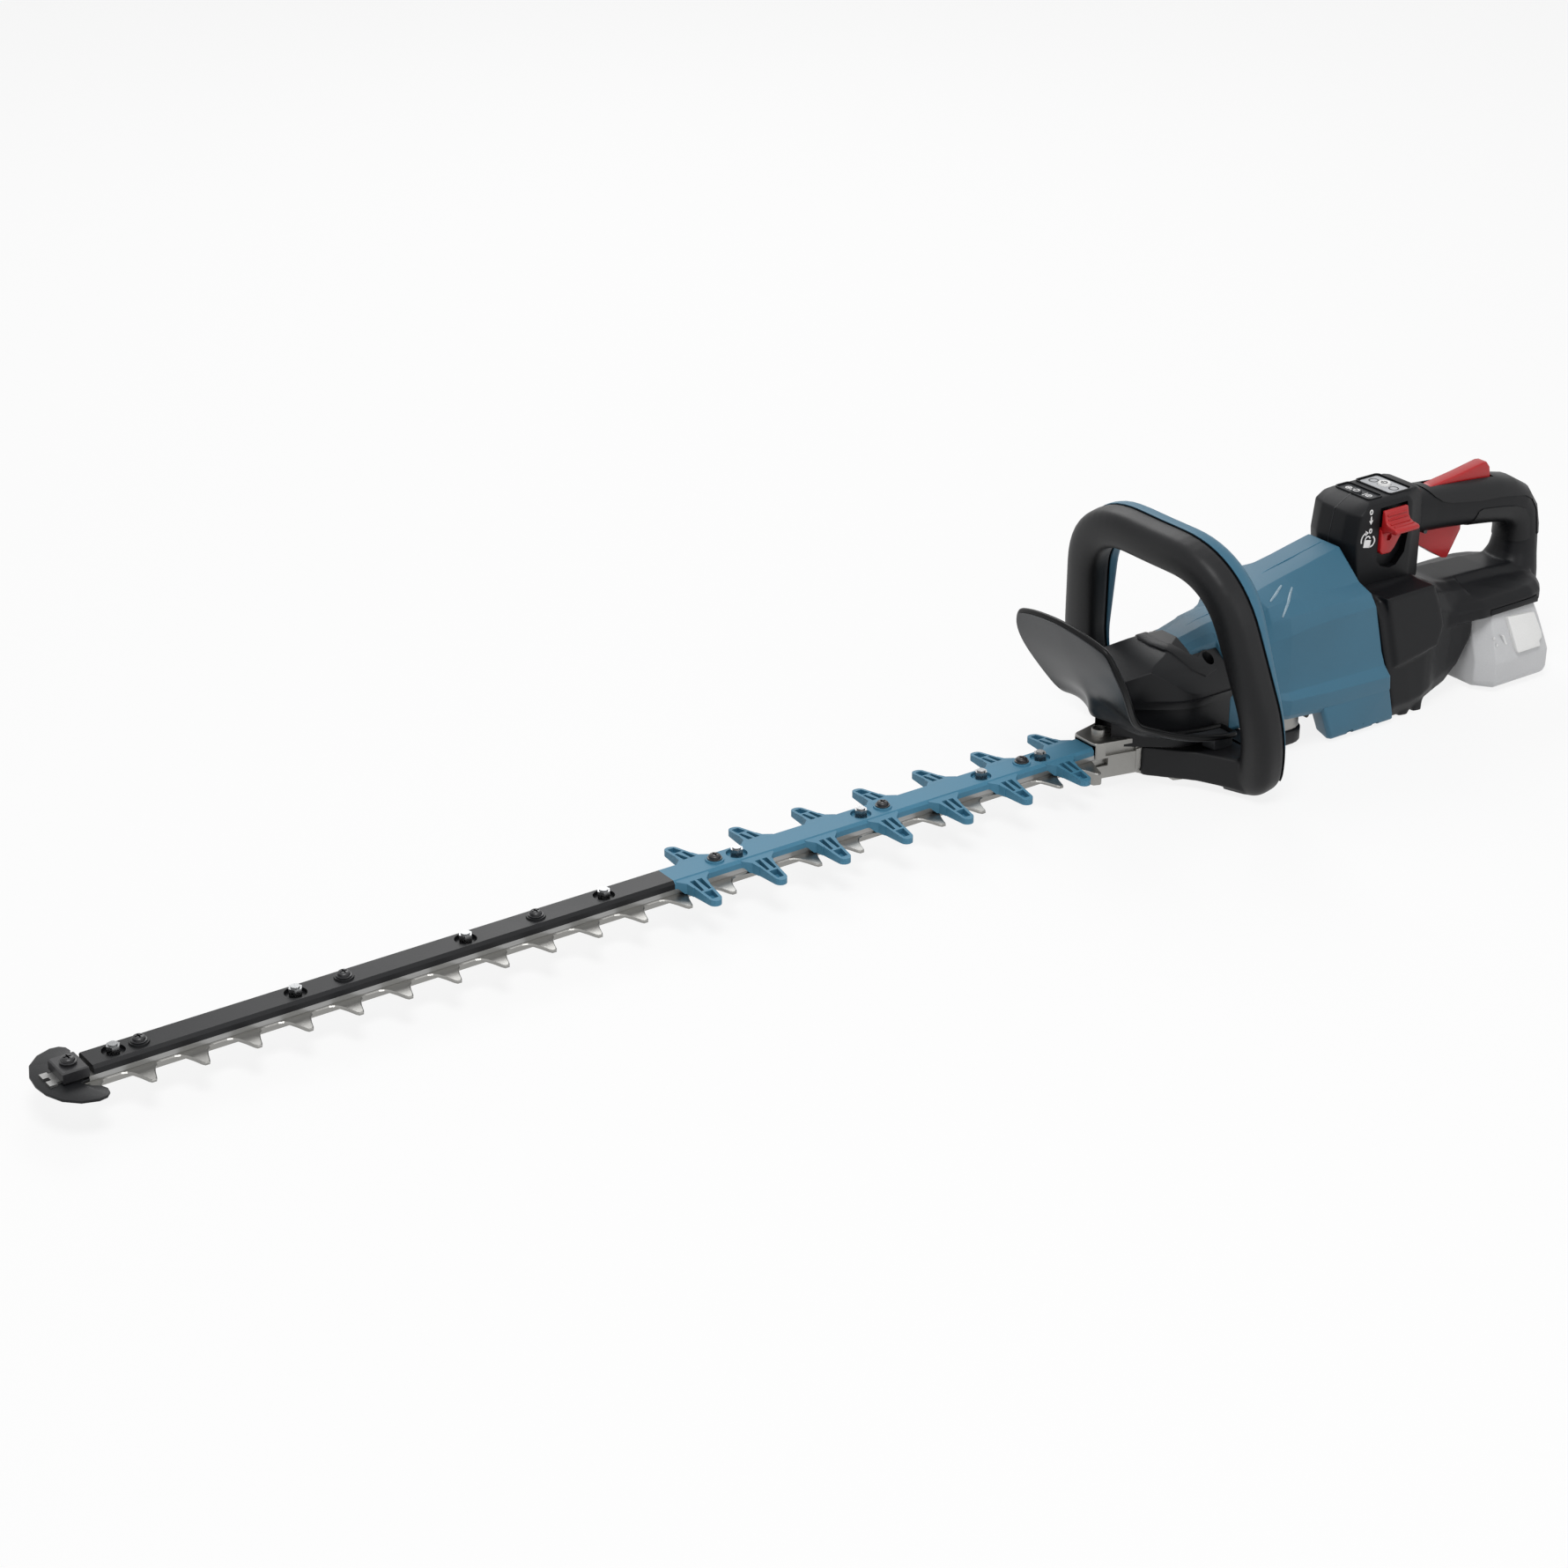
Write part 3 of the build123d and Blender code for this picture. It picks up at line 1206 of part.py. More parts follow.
with BuildPart() as lock_off_lever:
    add(side_prism([(225, 151.5), (225, 159), (230, 161.5), (279, 169.5), (286, 168), (288.6, 155.5)], lockoff_half))
    add(cross_pin(lockoff_pivot_x, lockoff_pivot_z, pin_r + fit, 20), mode=Mode.SUBTRACT)
finish(lock_off_lever, "lock_off_lever")

with BuildPart() as swivel_lock_lever:
    with BuildSketch(Plane.XZ.offset(lock_deep_y + 1)):
        with Locations((lock_x, (lock_low_z + lock_high_z) / 2)):
            Rectangle(2 * lock_half, lock_high_z - lock_low_z)
    extrude(amount=block_half + 2 - lock_deep_y - 1)
    with BuildSketch(Plane.XZ.offset(lock_deep_y + 1)):
        with Locations((lock_x, 152)):
            Rectangle(2 * lock_half, 6)
    extrude(amount=thumb_out_y - lock_deep_y - 1)
    with BuildSketch(Plane.XZ.offset(block_half + slip)):
        with Locations((lock_x, 152)):
            Rectangle(2 * thumb_half, 6)
    extrude(amount=thumb_out_y - block_half - slip)
    fillet(swivel_lock_lever.edges().filter_by(Axis.X).group_by(Axis.Y)[0], 2.0)
finish(swivel_lock_lever, "swivel_lock_lever")

# ---------------------------------------------------------------- panel and buttons
with BuildPart() as control_panel:
    add(plan_prism([(panel_front_x + slip, 0), (panel_front_x + slip, panel_half - slip),
                    (panel_rear_x - slip, panel_half - slip), (panel_rear_x - slip, 0)],
                   block_top_z - panel_t, block_top_z))
    for x in button_xs:
        add(post(x, 0, 160, block_top_z + 1, button_r + slip), mode=Mode.SUBTRACT)
finish(control_panel, "control_panel")

for x, name in zip(button_xs, ("power_button", "reverse_button")):
    with BuildPart() as button:
        add(post(x, 0, 163 + button_travel + 0.2, block_top_z + 1.0, button_r))
        fillet(button.faces().sort_by(Axis.Z)[-1].edges(), 0.6)
    finish(button, name)

# ---------------------------------------------------------------- electrics in the rear housing
with BuildPart() as switch_unit:
    add(side_prism([(227, 138), (261, 138), (261, 149), (227, 149)], 9.5))
finish(switch_unit, "switch_unit")

with BuildPart() as controller_board:
    add(plan_prism([(165, 0), (165, 30), (203, 30), (203, 0)], 20, 23))
    with BuildSketch(Plane.XY.offset(23)):
        with GridLocations(0, 9, 1, 6):
            with Locations((184, 0)):
                Rectangle(34, 2.4)
    extrude(amount=12)
finish(controller_board, "controller_board")

with BuildPart() as terminal_block:
    add(plan_prism([(cells_x - 17.7, 0), (cells_x - 17.7, 13.7), (cells_x + 17.7, 13.7), (cells_x + 17.7, 0)],
                   battery_top_z + rail_h + 0.4, battery_top_z + rail_h + 8))
finish(terminal_block, "terminal_block")

# ---------------------------------------------------------------- battery
case_top_z = battery_top_z - slip
battery_split_z = 31.0
cell_r = 9.0
with BuildPart() as battery:
    with BuildSketch(Plane.XY.offset(battery_low_z)):
        with Locations((cells_x, 0)):
            RectangleRounded(battery_l, 2 * battery_half, 9)
    extrude(amount=case_top_z - battery_low_z)
    fillet(battery.faces().sort_by(Axis.Z)[-1].edges(), 7.0)
    with BuildSketch(Plane.XY.offset(battery_low_z + 3)):
        with Locations((cells_x, 0)):
            RectangleRounded(battery_l - 6, 2 * battery_half - 20, 1.5)
    extrude(amount=case_top_z - battery_low_z - 9, mode=Mode.SUBTRACT)
    with BuildSketch(Plane.XZ.offset(-battery_half + 14)):
        with Locations((cells_x, battery_top_z + 0.5)):
            Rectangle(rail_w - 2 * rail_lip, 8)
        with Locations((cells_x, battery_top_z + rail_h - 1.8)):
            Rectangle(rail_w, 3.6)
    extrude(amount=2 * battery_half - 26)
    with BuildSketch(Plane.XZ.offset(battery_half - 8.5)):
        with Locations((279, 46)):
            Rectangle(34 + 2 * slip, 26 + 2 * slip)
    extrude(amount=20, mode=Mode.SUBTRACT)
for keep, name in ((Keep.TOP, "battery_top"), (Keep.BOTTOM, "battery_tray")):
    with BuildPart() as shell:
        add(battery.part)
        split(bisect_by=Plane.XY.offset(battery_split_z), keep=keep)
    finish(shell, name)

with BuildPart() as battery_cells:
    for z in (battery_low_z + 3 + cell_r, battery_low_z + 3 + 3 * cell_r + 0.4):
        with BuildSketch(Plane.YZ.offset(cells_x - 32.5)) as cell_ends:
            with GridLocations(2 * cell_r + 0.4, 0, 5, 1):
                with Locations((0, z)):
                    Circle(cell_r)
        extrude(cell_ends.sketch, amount=65, dir=(1, 0, 0))
finish(battery_cells, "battery_cells")

with BuildPart() as battery_button:
    with BuildSketch(Plane.XZ.offset(battery_half - 5)):
        with Locations((279, 46)):
            Rectangle(34, 26)
    extrude(amount=5.5)
    chamfer(battery_button.faces().sort_by(Axis.Y)[0].edges(), 1.5)
finish(battery_button, "battery_button")
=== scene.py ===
import json
import math

import bmesh
import bpy
from mathutils import Matrix, Vector
from mathutils.bvhtree import BVHTree


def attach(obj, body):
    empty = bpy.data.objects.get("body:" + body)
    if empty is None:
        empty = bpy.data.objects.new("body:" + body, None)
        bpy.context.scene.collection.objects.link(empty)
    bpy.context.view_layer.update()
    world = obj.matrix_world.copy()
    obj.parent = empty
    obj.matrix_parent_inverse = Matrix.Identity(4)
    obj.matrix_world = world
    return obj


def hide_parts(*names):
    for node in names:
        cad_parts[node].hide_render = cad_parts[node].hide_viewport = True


# Cordless hedge trimmer. Lengths in the shape functions are millimetres in the CAD frame:
# -X blade tip, +X rear handle, -Y the lever side, +Z up. Meshes are scaled to metres at the end.
MM = 0.001
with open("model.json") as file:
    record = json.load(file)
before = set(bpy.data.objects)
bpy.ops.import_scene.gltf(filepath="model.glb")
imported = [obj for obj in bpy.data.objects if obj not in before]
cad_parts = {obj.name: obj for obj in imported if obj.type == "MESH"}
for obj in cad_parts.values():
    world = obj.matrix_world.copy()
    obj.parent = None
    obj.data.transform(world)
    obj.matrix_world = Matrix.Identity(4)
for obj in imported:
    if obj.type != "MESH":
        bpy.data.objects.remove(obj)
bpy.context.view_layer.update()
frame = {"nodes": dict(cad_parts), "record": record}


# ---------------------------------------------------------------- shader maths
class Signal:
    """A shader socket or a number that can be used in a sum."""

    def __init__(self, finish, socket):
        self.finish, self.socket = finish, socket

    def _math(self, operation, first, second):
        return self.finish.node("ShaderNodeMath", {"operation": operation}, {0: first, 1: second})

    def __add__(self, other):
        return self._math("ADD", self, other)

    def __radd__(self, other):
        return self._math("ADD", other, self)

    def __sub__(self, other):
        return self._math("SUBTRACT", self, other)

    def __mul__(self, other):
        return self._math("MULTIPLY", self, other)

    def clipped(self):
        return self.finish.node("ShaderNodeClamp", {}, {"Value": self})


class Finish:
    """One procedural material in object coordinates, built on a Principled BSDF."""

    def __init__(self, name, colour, roughness, metallic=0.0, coat=0.0):
        self.material = bpy.data.materials.new(name)
        self.material.use_nodes = True
        self.tree = self.material.node_tree
        self.shader = self.tree.nodes["Principled BSDF"]
        self.put("Base Color", (*colour, 1.0))
        self.put("Roughness", roughness)
        self.put("Metallic", metallic)
        self.put("Coat Weight", coat)
        self.material.diffuse_color = (*colour, 1.0)
        place = self.tree.nodes.new("ShaderNodeTexCoord")
        self.place = Signal(self, place.outputs["Object"])

    def put(self, name, value):
        self._feed(self.shader.inputs[name], value)

    def _feed(self, socket, value):
        if isinstance(value, Signal):
            self.tree.links.new(value.socket, socket)
        else:
            socket.default_value = value

    def node(self, kind, settings, inputs, output=0):
        made = self.tree.nodes.new(kind)
        for key, value in settings.items():
            setattr(made, key, value)
        for key, value in inputs.items():
            self._feed(made.inputs[key], value)
        return Signal(self, made.outputs[output])

    def noise(self, scale, detail=2.0, rough=0.5, stretch=None):
        """Noise from 0 to 1; scale in lumps per metre, stretch a scale per axis."""
        where = self.place
        if stretch:
            where = self.node("ShaderNodeMapping", {}, {"Vector": self.place, "Scale": stretch})
        inputs = {"Vector": where, "Scale": scale, "Detail": detail, "Roughness": rough}
        return self.node("ShaderNodeTexNoise", {}, inputs)

    def blend(self, mask, first, second):
        """Colour mix by a mask from 0 to 1."""
        return self.node("ShaderNodeMix", {"data_type": "RGBA"}, {0: mask, 6: first, 7: second}, 2)

    def bump(self, height, distance):
        inputs = {"Strength": 1.0, "Distance": distance, "Height": height}
        self.put("Normal", self.node("ShaderNodeBump", {}, inputs))


def shade(colour, factor):
    return tuple(min(1.0, c * factor) for c in colour)


def tinted(colour, factor):
    """The colour made darker or lighter, with full alpha for a colour socket."""
    return (*shade(colour, factor), 1.0)


# ---------------------------------------------------------------- finishes
def moulded(name, colour, roughness, grain, depth, coat=0.0, shine=0.5):
    """Injection-moulded plastic: spark-eroded grain, slow tone drift, light scuffs."""
    made = Finish(name, colour, roughness, coat=coat)
    made.put("Specular IOR Level", shine)
    drift = made.noise(14.0, 3.0)
    speck = made.noise(grain, 3.0, 0.7)
    scuff = (made.noise(60.0, 6.0, 0.75, (1.0, 3.0, 3.0)) - 0.62).clipped() * 3.0
    tone = made.blend(drift, tinted(colour, 0.86), tinted(colour, 1.12))
    made.put("Base Color", made.blend((speck - 0.45).clipped() * 0.6, tone, tinted(colour, 1.35)))
    made.put("Roughness", (roughness - 0.05) + drift * 0.08 + speck * 0.08 - scuff * 0.05)
    made.bump(speck, depth)
    return made


def steel(name, colour, roughness, lines, depth):
    """Ground or rolled steel: fine lines along one axis, faint stains."""
    made = Finish(name, colour, roughness, metallic=1.0)
    grind = made.noise(1.0, 4.0, 0.7, lines)
    stain = made.noise(35.0, 5.0, 0.65)
    tone = made.blend(grind, tinted(colour, 0.78), tinted(colour, 1.15))
    tone = made.blend(((stain - 0.55) * 1.6).clipped(), tone, tinted(colour, 0.62))
    made.put("Base Color", tone)
    made.put("Roughness", roughness + grind * 0.14 + (stain - 0.5) * 0.12)
    made.bump(grind, depth)
    return made


def cast_metal(name, colour, roughness):
    """Die-cast aluminium: fine pitted skin with darker hollows."""
    made = Finish(name, colour, roughness, metallic=1.0)
    skin = made.noise(900.0, 4.0, 0.7)
    cloud = made.noise(45.0, 4.0)
    mottle = cloud * 0.6 + skin * 0.4
    made.put("Base Color", made.blend(mottle, tinted(colour, 0.68), tinted(colour, 1.12)))
    made.put("Roughness", roughness + (skin - 0.5) * 0.2)
    made.bump(skin, 0.00012)
    return made


TEAL = (0.039, 0.138, 0.213)
BLACK = (0.0050, 0.0054, 0.0066)
teal_shell = moulded("teal moulded housing", TEAL, 0.44, 1500.0, 0.00003, shine=0.4)
teal_cover = moulded("teal blade cover", shade(TEAL, 1.42), 0.5, 1200.0, 0.00004, shine=0.4)
black_shell = moulded("black moulded housing", BLACK, 0.40, 1400.0, 0.00004, shine=0.19)
black_cover = moulded("black blade cover", (0.0062, 0.0066, 0.0078), 0.40, 1100.0, 0.00005, shine=0.26)
soft_grip = moulded("soft grip rubber", (0.0075, 0.0078, 0.0088), 0.42, 1700.0, 0.00003, shine=0.26)
shield = moulded("smoked shield plastic", (0.024, 0.026, 0.029), 0.34, 900.0, 0.00002, shine=0.36)
# Near-black bead on the guard's border: a raised edge, and its darkness is partly painted shade on the edge's
# thickness.
rim_black_with_painted_shade = moulded("black guard edge with painted shade", (0.0035, 0.0037, 0.0042), 0.3, 1400.0, 0.00001, shine=0.16)
signal_red = moulded("glossy red levers", (0.42, 0.010, 0.012), 0.3, 700.0, 0.00001, coat=0.1, shine=0.4)
battery_shell = moulded("pale battery shell", (0.56, 0.565, 0.575), 0.34, 900.0, 0.00001)
# Lighter teal for the shoulder creases: a painted highlight on their sharp edges.
crease_painted_highlight = moulded("teal crease painted highlight", (0.22, 0.33, 0.40), 0.25, 900.0, 0.00001)
white_key = moulded("white release key", (0.82, 0.82, 0.81), 0.4, 900.0, 0.00002)
panel_film = moulded("dark key panel", (0.02, 0.022, 0.025), 0.3, 1500.0, 0.00001, shine=0.3)
pale_film = moulded("pale key film", (0.42, 0.43, 0.45), 0.3, 1500.0, 0.00001)
print_white = moulded("white printed marks", (0.80, 0.80, 0.80), 0.5, 2500.0, 0.00001)
blade_steel = steel("ground blade steel", (0.30, 0.297, 0.285), 0.3, (90.0, 1600.0, 1600.0), 0.00002)
bar_steel = steel("rolled bar steel", (0.34, 0.34, 0.335), 0.3, (60.0, 1400.0, 1400.0), 0.00002)
zinc_steel = steel("zinc plated fasteners", (0.31, 0.315, 0.32), 0.2, (700.0, 700.0, 700.0), 0.00002)
black_steel = moulded("blackened steel", (0.014, 0.014, 0.016), 0.34, 800.0, 0.00003)
machined = steel("machined steel", (0.5, 0.5, 0.5), 0.28, (500.0, 500.0, 900.0), 0.00002)
cast_alloy = cast_metal("cast aluminium", (0.33, 0.325, 0.31), 0.4)
lamination = steel("laminated core", (0.32, 0.26, 0.20), 0.45, (40.0, 40.0, 2500.0), 0.00006)
cell_wrap = moulded("cell sleeve", (0.03, 0.16, 0.09), 0.3, 600.0, 0.00001)
resin = moulded("potted board", (0.02, 0.05, 0.03), 0.35, 300.0, 0.0001)

SLOT_FINISH = {
    "blade_steel": blade_steel, "bar_steel": bar_steel, "zinc_steel": zinc_steel, "black_steel": black_steel,
    "hard_steel": machined, "bearing_steel": zinc_steel, "cast_aluminium": cast_alloy, "teal_plastic": teal_shell,
    "black_plastic": black_shell, "grip_rubber": soft_grip, "guard_plastic": shield, "red_plastic": signal_red,
    "panel_film": panel_film, "button_plastic": white_key, "battery_plastic": battery_shell,
    "white_plastic": white_key, "copper_core": lamination, "cell_sleeve": cell_wrap, "fan_plastic": black_shell,
    "board_resin": resin,
}
node_slot = {s["node"]: s["material_slot"] for s in frame["record"]["subparts"]}
node_body = {n: b for b, nodes in frame["record"]["behaviour"]["bodies"].items() for n in nodes}
NODE_FINISH = {"blade_cover_rear": teal_cover, "blade_cover_front": black_cover, "trigger_pin": black_steel,
               "lockoff_pin": black_steel}
for node, piece in frame["nodes"].items():
    finish = NODE_FINISH.get(node) or SLOT_FINISH[node_slot[node]]
    piece.data.materials.clear()
    piece.data.materials.append(finish.material)


# ---------------------------------------------------------------- making pieces
def as_mesh(name, bm):
    """New mesh that takes over a bmesh."""
    mesh = bpy.data.meshes.new(name)
    bm.to_mesh(mesh)
    bm.free()
    return mesh


def placed(name, data):
    """New object in the scene."""
    item = bpy.data.objects.new(name, data)
    bpy.context.scene.collection.objects.link(item)
    return item


def make(name, bm, finish, stands_for=(), body=None, angle=35.0):
    """Turn a bmesh in millimetres into a piece that rides on its body and stands for its CAD nodes."""
    bmesh.ops.scale(bm, vec=(MM,) * 3, verts=bm.verts)
    mesh = as_mesh(name, bm)
    piece = placed(name, mesh)
    mesh.materials.append(finish.material)
    for face in mesh.polygons:
        face.use_smooth = True
    mesh.set_sharp_from_angle(angle=math.radians(angle))
    first = stands_for[0] if stands_for else None
    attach(piece, body or node_body[first])
    if stands_for:
        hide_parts(*stands_for)


def tidy(bm, distance=0.01):
    """Weld points that lie together and turn every face outwards."""
    bmesh.ops.remove_doubles(bm, verts=bm.verts, dist=distance)
    faced(bm)


def cad_copy(node):
    """Copy of a CAD node in millimetres with flat areas joined to single faces."""
    bm = bmesh.new()
    bm.from_mesh(frame["nodes"][node].data)
    bmesh.ops.scale(bm, vec=(1 / MM,) * 3, verts=bm.verts)
    bmesh.ops.remove_doubles(bm, verts=bm.verts, dist=0.005)
    merged_planes(bm)
    return bm


def joined(bm, part):
    """Add the faces of another bmesh to bm."""
    mesh = as_mesh("part", part)
    bm.from_mesh(mesh)
    bpy.data.meshes.remove(mesh)


def faced(bm):
    """Turn every face outwards."""
    bmesh.ops.recalc_face_normals(bm, faces=bm.faces)


def merged_planes(bm):
    bmesh.ops.dissolve_limit(bm, angle_limit=math.radians(1.0), verts=bm.verts, edges=bm.edges)


def round_edges(bm, width, segments=3, over=25.0):
    """Round every edge that turns by more than the angle."""
    sharp = [e for e in bm.edges if len(e.link_faces) == 2 and e.calc_face_angle(0.0) > math.radians(over)]
    bmesh.ops.bevel(bm, geom=sharp, offset=width, offset_type="OFFSET", segments=segments, profile=0.5,
                    affect="EDGES", clamp_overlap=True, material=-1, loop_slide=True)


def ring(bm, points):
    """Closed loop of edges through points."""
    verts = [bm.verts.new(p) for p in points]
    return [bm.edges.new((first, verts[(i + 1) % len(verts)])) for i, first in enumerate(verts)]


def loft(bm, rings):
    """Skin from one closed loop to the next, closed at both ends."""
    for before, after in zip(rings, rings[1:]):
        bmesh.ops.bridge_loops(bm, edges=before + after)
    for end in (rings[0], rings[-1]):
        bmesh.ops.contextual_create(bm, geom=end)


def mirrored(half):
    """Full section from a half section whose first and last points lie on the middle plane."""
    return half + [(x, -y, z) for x, y, z in reversed(half[1:-1])]


def whole(half, flip=1):
    """Closed outline from one half of it; points on the middle line stay single."""
    other = [(-a, b) if flip == 0 else (a, -b) for a, b in reversed(half) if abs((a, b)[flip]) > 0.001]
    return half + other


def oblong(near, far, low, high):
    return [(near, low), (far, low), (far, high), (near, high)]


def slab(bm, outline, low, high, axis="Y"):
    """Prism of an outline between two levels along an axis: X-Z outline for Y, X-Y for Z, Y-Z for X."""
    place = {"X": lambda a, b, t: (t, a, b), "Y": lambda a, b, t: (a, t, b), "Z": lambda a, b, t: (a, b, t)}[axis]
    face = bmesh.ops.contextual_create(bm, geom=ring(bm, [place(a, b, low) for a, b in outline]))["faces"]
    grown = bmesh.ops.extrude_face_region(bm, geom=face)
    verts = [g for g in grown["geom"] if isinstance(g, bmesh.types.BMVert)]
    shift = Vector(place(0, 0, high)) - Vector(place(0, 0, low))
    bmesh.ops.translate(bm, vec=shift, verts=verts)
    return verts


def arc_path(points, radii, steps=8):
    """Polyline through points with its inner corners rounded."""
    path = [Vector(points[0])]
    for before, corner, after, radius in zip(points, points[1:], points[2:], radii):
        here = Vector(corner)
        into, out = (here - Vector(before)).normalized(), (Vector(after) - here).normalized()
        turn = into.angle(out)
        if turn < 0.02:
            path.append(here)
            continue
        reach = radius * math.tan(turn / 2)
        start, end = here - into * reach, here + out * reach
        for i in range(steps + 1):
            t = i / steps
            path.append(start.lerp(here, t).lerp(here.lerp(end, t), t))
    path.append(Vector(points[-1]))
    return path


def taken_from(item):
    """The mesh of an object with its modifiers applied; the object itself is removed."""
    result = bmesh.new()
    result.from_object(item, bpy.context.evaluated_depsgraph_get())
    dropped(item)
    return result


def dropped(item):
    mesh = item.data
    bpy.data.objects.remove(item)
    bpy.data.meshes.remove(mesh)


def worked(bm):
    """A linked object that holds the bmesh while modifiers work on it."""
    return placed("work", as_mesh("work", bm))


def melted(bm, voxel, rounds):
    """Fuse overlapping solids into one skin and soften its edges."""
    rough = worked(bm)
    fuse = rough.modifiers.new("fuse", "REMESH")
    fuse.mode, fuse.voxel_size, fuse.adaptivity = "VOXEL", voxel, 0.0
    relax = rough.modifiers.new("relax", "SMOOTH")
    relax.factor, relax.iterations = 0.5, rounds
    return taken_from(rough)


def combined(operation, bm, *others):
    """bm with the other solids taken away, joined on or used as its limit, one after another."""
    faced(bm)
    base = worked(bm)
    tools = []
    for other in others:
        faced(other)
        tools.append(worked(other))
        step = base.modifiers.new("step", "BOOLEAN")
        step.object, step.operation, step.solver = tools[-1], operation, "EXACT"
    result = taken_from(base)
    for tool in tools:
        dropped(tool)
    bmesh.ops.remove_doubles(result, verts=result.verts, dist=0.01)
    return result


def carved(bm, *cutters):
    return combined("DIFFERENCE", bm, *cutters)


def solid(outline, low, high, axis="Y"):
    """Prism as its own bmesh."""
    bm = bmesh.new()
    slab(bm, outline, low, high, axis)
    return bm


def centred(front, rear, half, low, high):
    """Box over the middle plane."""
    return solid([(front, half), (rear, half), (rear, -half), (front, -half)], low, high, "Z")


def rod(bm, start, end, radius, segments=32):
    """Cylinder between two points."""
    along = Vector(end) - Vector(start)
    turn = along.to_track_quat("Z", "Y").to_matrix().to_4x4()
    place = Matrix.Translation((Vector(start) + Vector(end)) / 2) @ turn
    bmesh.ops.create_cone(bm, cap_ends=True, segments=segments, radius1=radius, radius2=radius, depth=along.length,
                          matrix=place)


def post(x, y, low, high, radius, segments=32):
    """Upright cylinder as its own bmesh."""
    bm = bmesh.new()
    rod(bm, (x, y, low), (x, y, high), radius, segments)
    return bm


def turned(x, levels, count=32):
    """Body of revolution about an upright axis in the middle plane, from levels of (z, radius)."""
    bm = bmesh.new()
    turns = [2 * math.pi * i / count for i in range(count)]
    loft(bm, [ring(bm, [(x + r * math.cos(a), r * math.sin(a), z) for a in turns]) for z, r in levels])
    return bm


def ribbon(bm, stations, grow=0.0):
    """Bar in the middle plane with superelliptic sections: stations of (x, z, half height, half width)."""
    power, count = 2.6, 28
    line = [Vector((x, z)) for x, z, _, _ in stations]
    rings = []
    for i, (x, z, high, wide) in enumerate(stations):
        ahead = (line[min(i + 1, len(line) - 1)] - line[max(i - 1, 0)]).normalized()
        out = Vector((-ahead.y, ahead.x))
        points = []
        for k in range(count):
            a = 2 * math.pi * k / count
            c, s = math.cos(a), math.sin(a)
            rise = (high + grow) * math.copysign(abs(s) ** (2 / power), s)
            across = (wide + grow) * math.copysign(abs(c) ** (2 / power), c)
            points.append((x + out.x * rise, across, z + out.y * rise))
        rings.append(ring(bm, points))
    loft(bm, rings)


def subdivided(bm, levels):
    """Catmull-Clark surface of a cage."""
    cage = worked(bm)
    smooth = cage.modifiers.new("smooth", "SUBSURF")
    smooth.levels = smooth.render_levels = levels
    return taken_from(cage)


def rounded(near, far, half, radius):
    """Rectangle with round corners from near to far along X and to both sides of the middle."""
    steps = 5
    corners = ((far - radius, half - radius, 0), (near + radius, half - radius, 90),
               (near + radius, -half + radius, 180), (far - radius, -half + radius, 270))
    points = []
    for x, y, start in corners:
        for i in range(steps + 1):
            a = math.radians(start + 90 * i / steps)
            points.append((x + radius * math.cos(a), y + radius * math.sin(a)))
    return points


def flat_ring(bm, middle, outer, inner, thick, axis, stretch=1.0, start=0, stop=360):
    """Flat ring or arc, thick along the axis, stretched along the upright of the plane."""
    steps, full = 24, stop - start == 360
    turns = [math.radians(start + (stop - start) * i / steps) for i in range(steps if full else steps + 1)]
    count = len(turns)
    layers = []
    for rise in (0.0, thick):
        layer = []
        for radius in (outer, inner):
            for a in turns:
                u, v = radius * math.cos(a), (radius + (stretch - 1.0) * outer) * math.sin(a)
                shift = (u, v, rise) if axis == "Z" else (u, rise, v)
                layer.append(bm.verts.new([m + d for m, d in zip(middle, shift)]))
        layers.append(layer)
    near, far = layers
    faces = []
    for i in range(count if full else count - 1):
        k = (i + 1) % count
        inner_i, inner_k = count + i, count + k
        faces += [bm.faces.new(corners) for corners in (
            (near[i], near[k], near[inner_k], near[inner_i]), (far[i], far[inner_i], far[inner_k], far[k]),
            (near[i], far[i], far[k], near[k]), (near[inner_k], far[inner_k], far[inner_i], near[inner_i]))]
    for i in () if full else (0, count - 1):
        faces.append(bm.faces.new((near[i], near[count + i], far[count + i], far[i])))
    bmesh.ops.recalc_face_normals(bm, faces=faces)


# ---------------------------------------------------------------- front handle
LEAN = math.radians(11.2)
LOOP_AT = Vector((-14.0, 0.0, 8.0))
LOOP_UP = Vector((-math.sin(LEAN), 0.0, math.cos(LEAN)))
LOOP_BACK = Vector((math.cos(LEAN), 0.0, math.sin(LEAN)))
LOOP_MIDDLE = arc_path([(50, 8), (88.5, 8), (99.6, 49), (70.9, 171.2), (0, 170.6), (-70.9, 171.2), (-99.6, 49),
                        (-88.5, 8), (-50, 8)], (15, 108, 58.5, 160, 58.5, 108, 15), 12)
SHELL_FRONT = 10.6      # the teal shell starts this far behind the middle of the grip
SHELL_END = 46.0        # and stops this high over the ground
CRANK_X = -30.0
CASE_RADIUS = 40.4


def loop_sweep(bm, profile, depth=None):
    """Sweep a profile of (across, behind) points along the front handle; depth scales what lies behind by height."""
    line = LOOP_MIDDLE
    rings = []
    for i, here in enumerate(line):
        ahead = (line[min(i + 1, len(line) - 1)] - line[max(i - 1, 0)]).normalized()
        out = Vector((ahead.y, -ahead.x))
        points = []
        for across, behind in profile:
            at = here + out * across
            if depth:
                behind = SHELL_FRONT + (behind - SHELL_FRONT) * depth(at.y)
            points.append(LOOP_AT + Vector((0, at.x, 0)) + LOOP_UP * at.y + LOOP_BACK * behind)
        rings.append(ring(bm, points))
    loft(bm, rings)


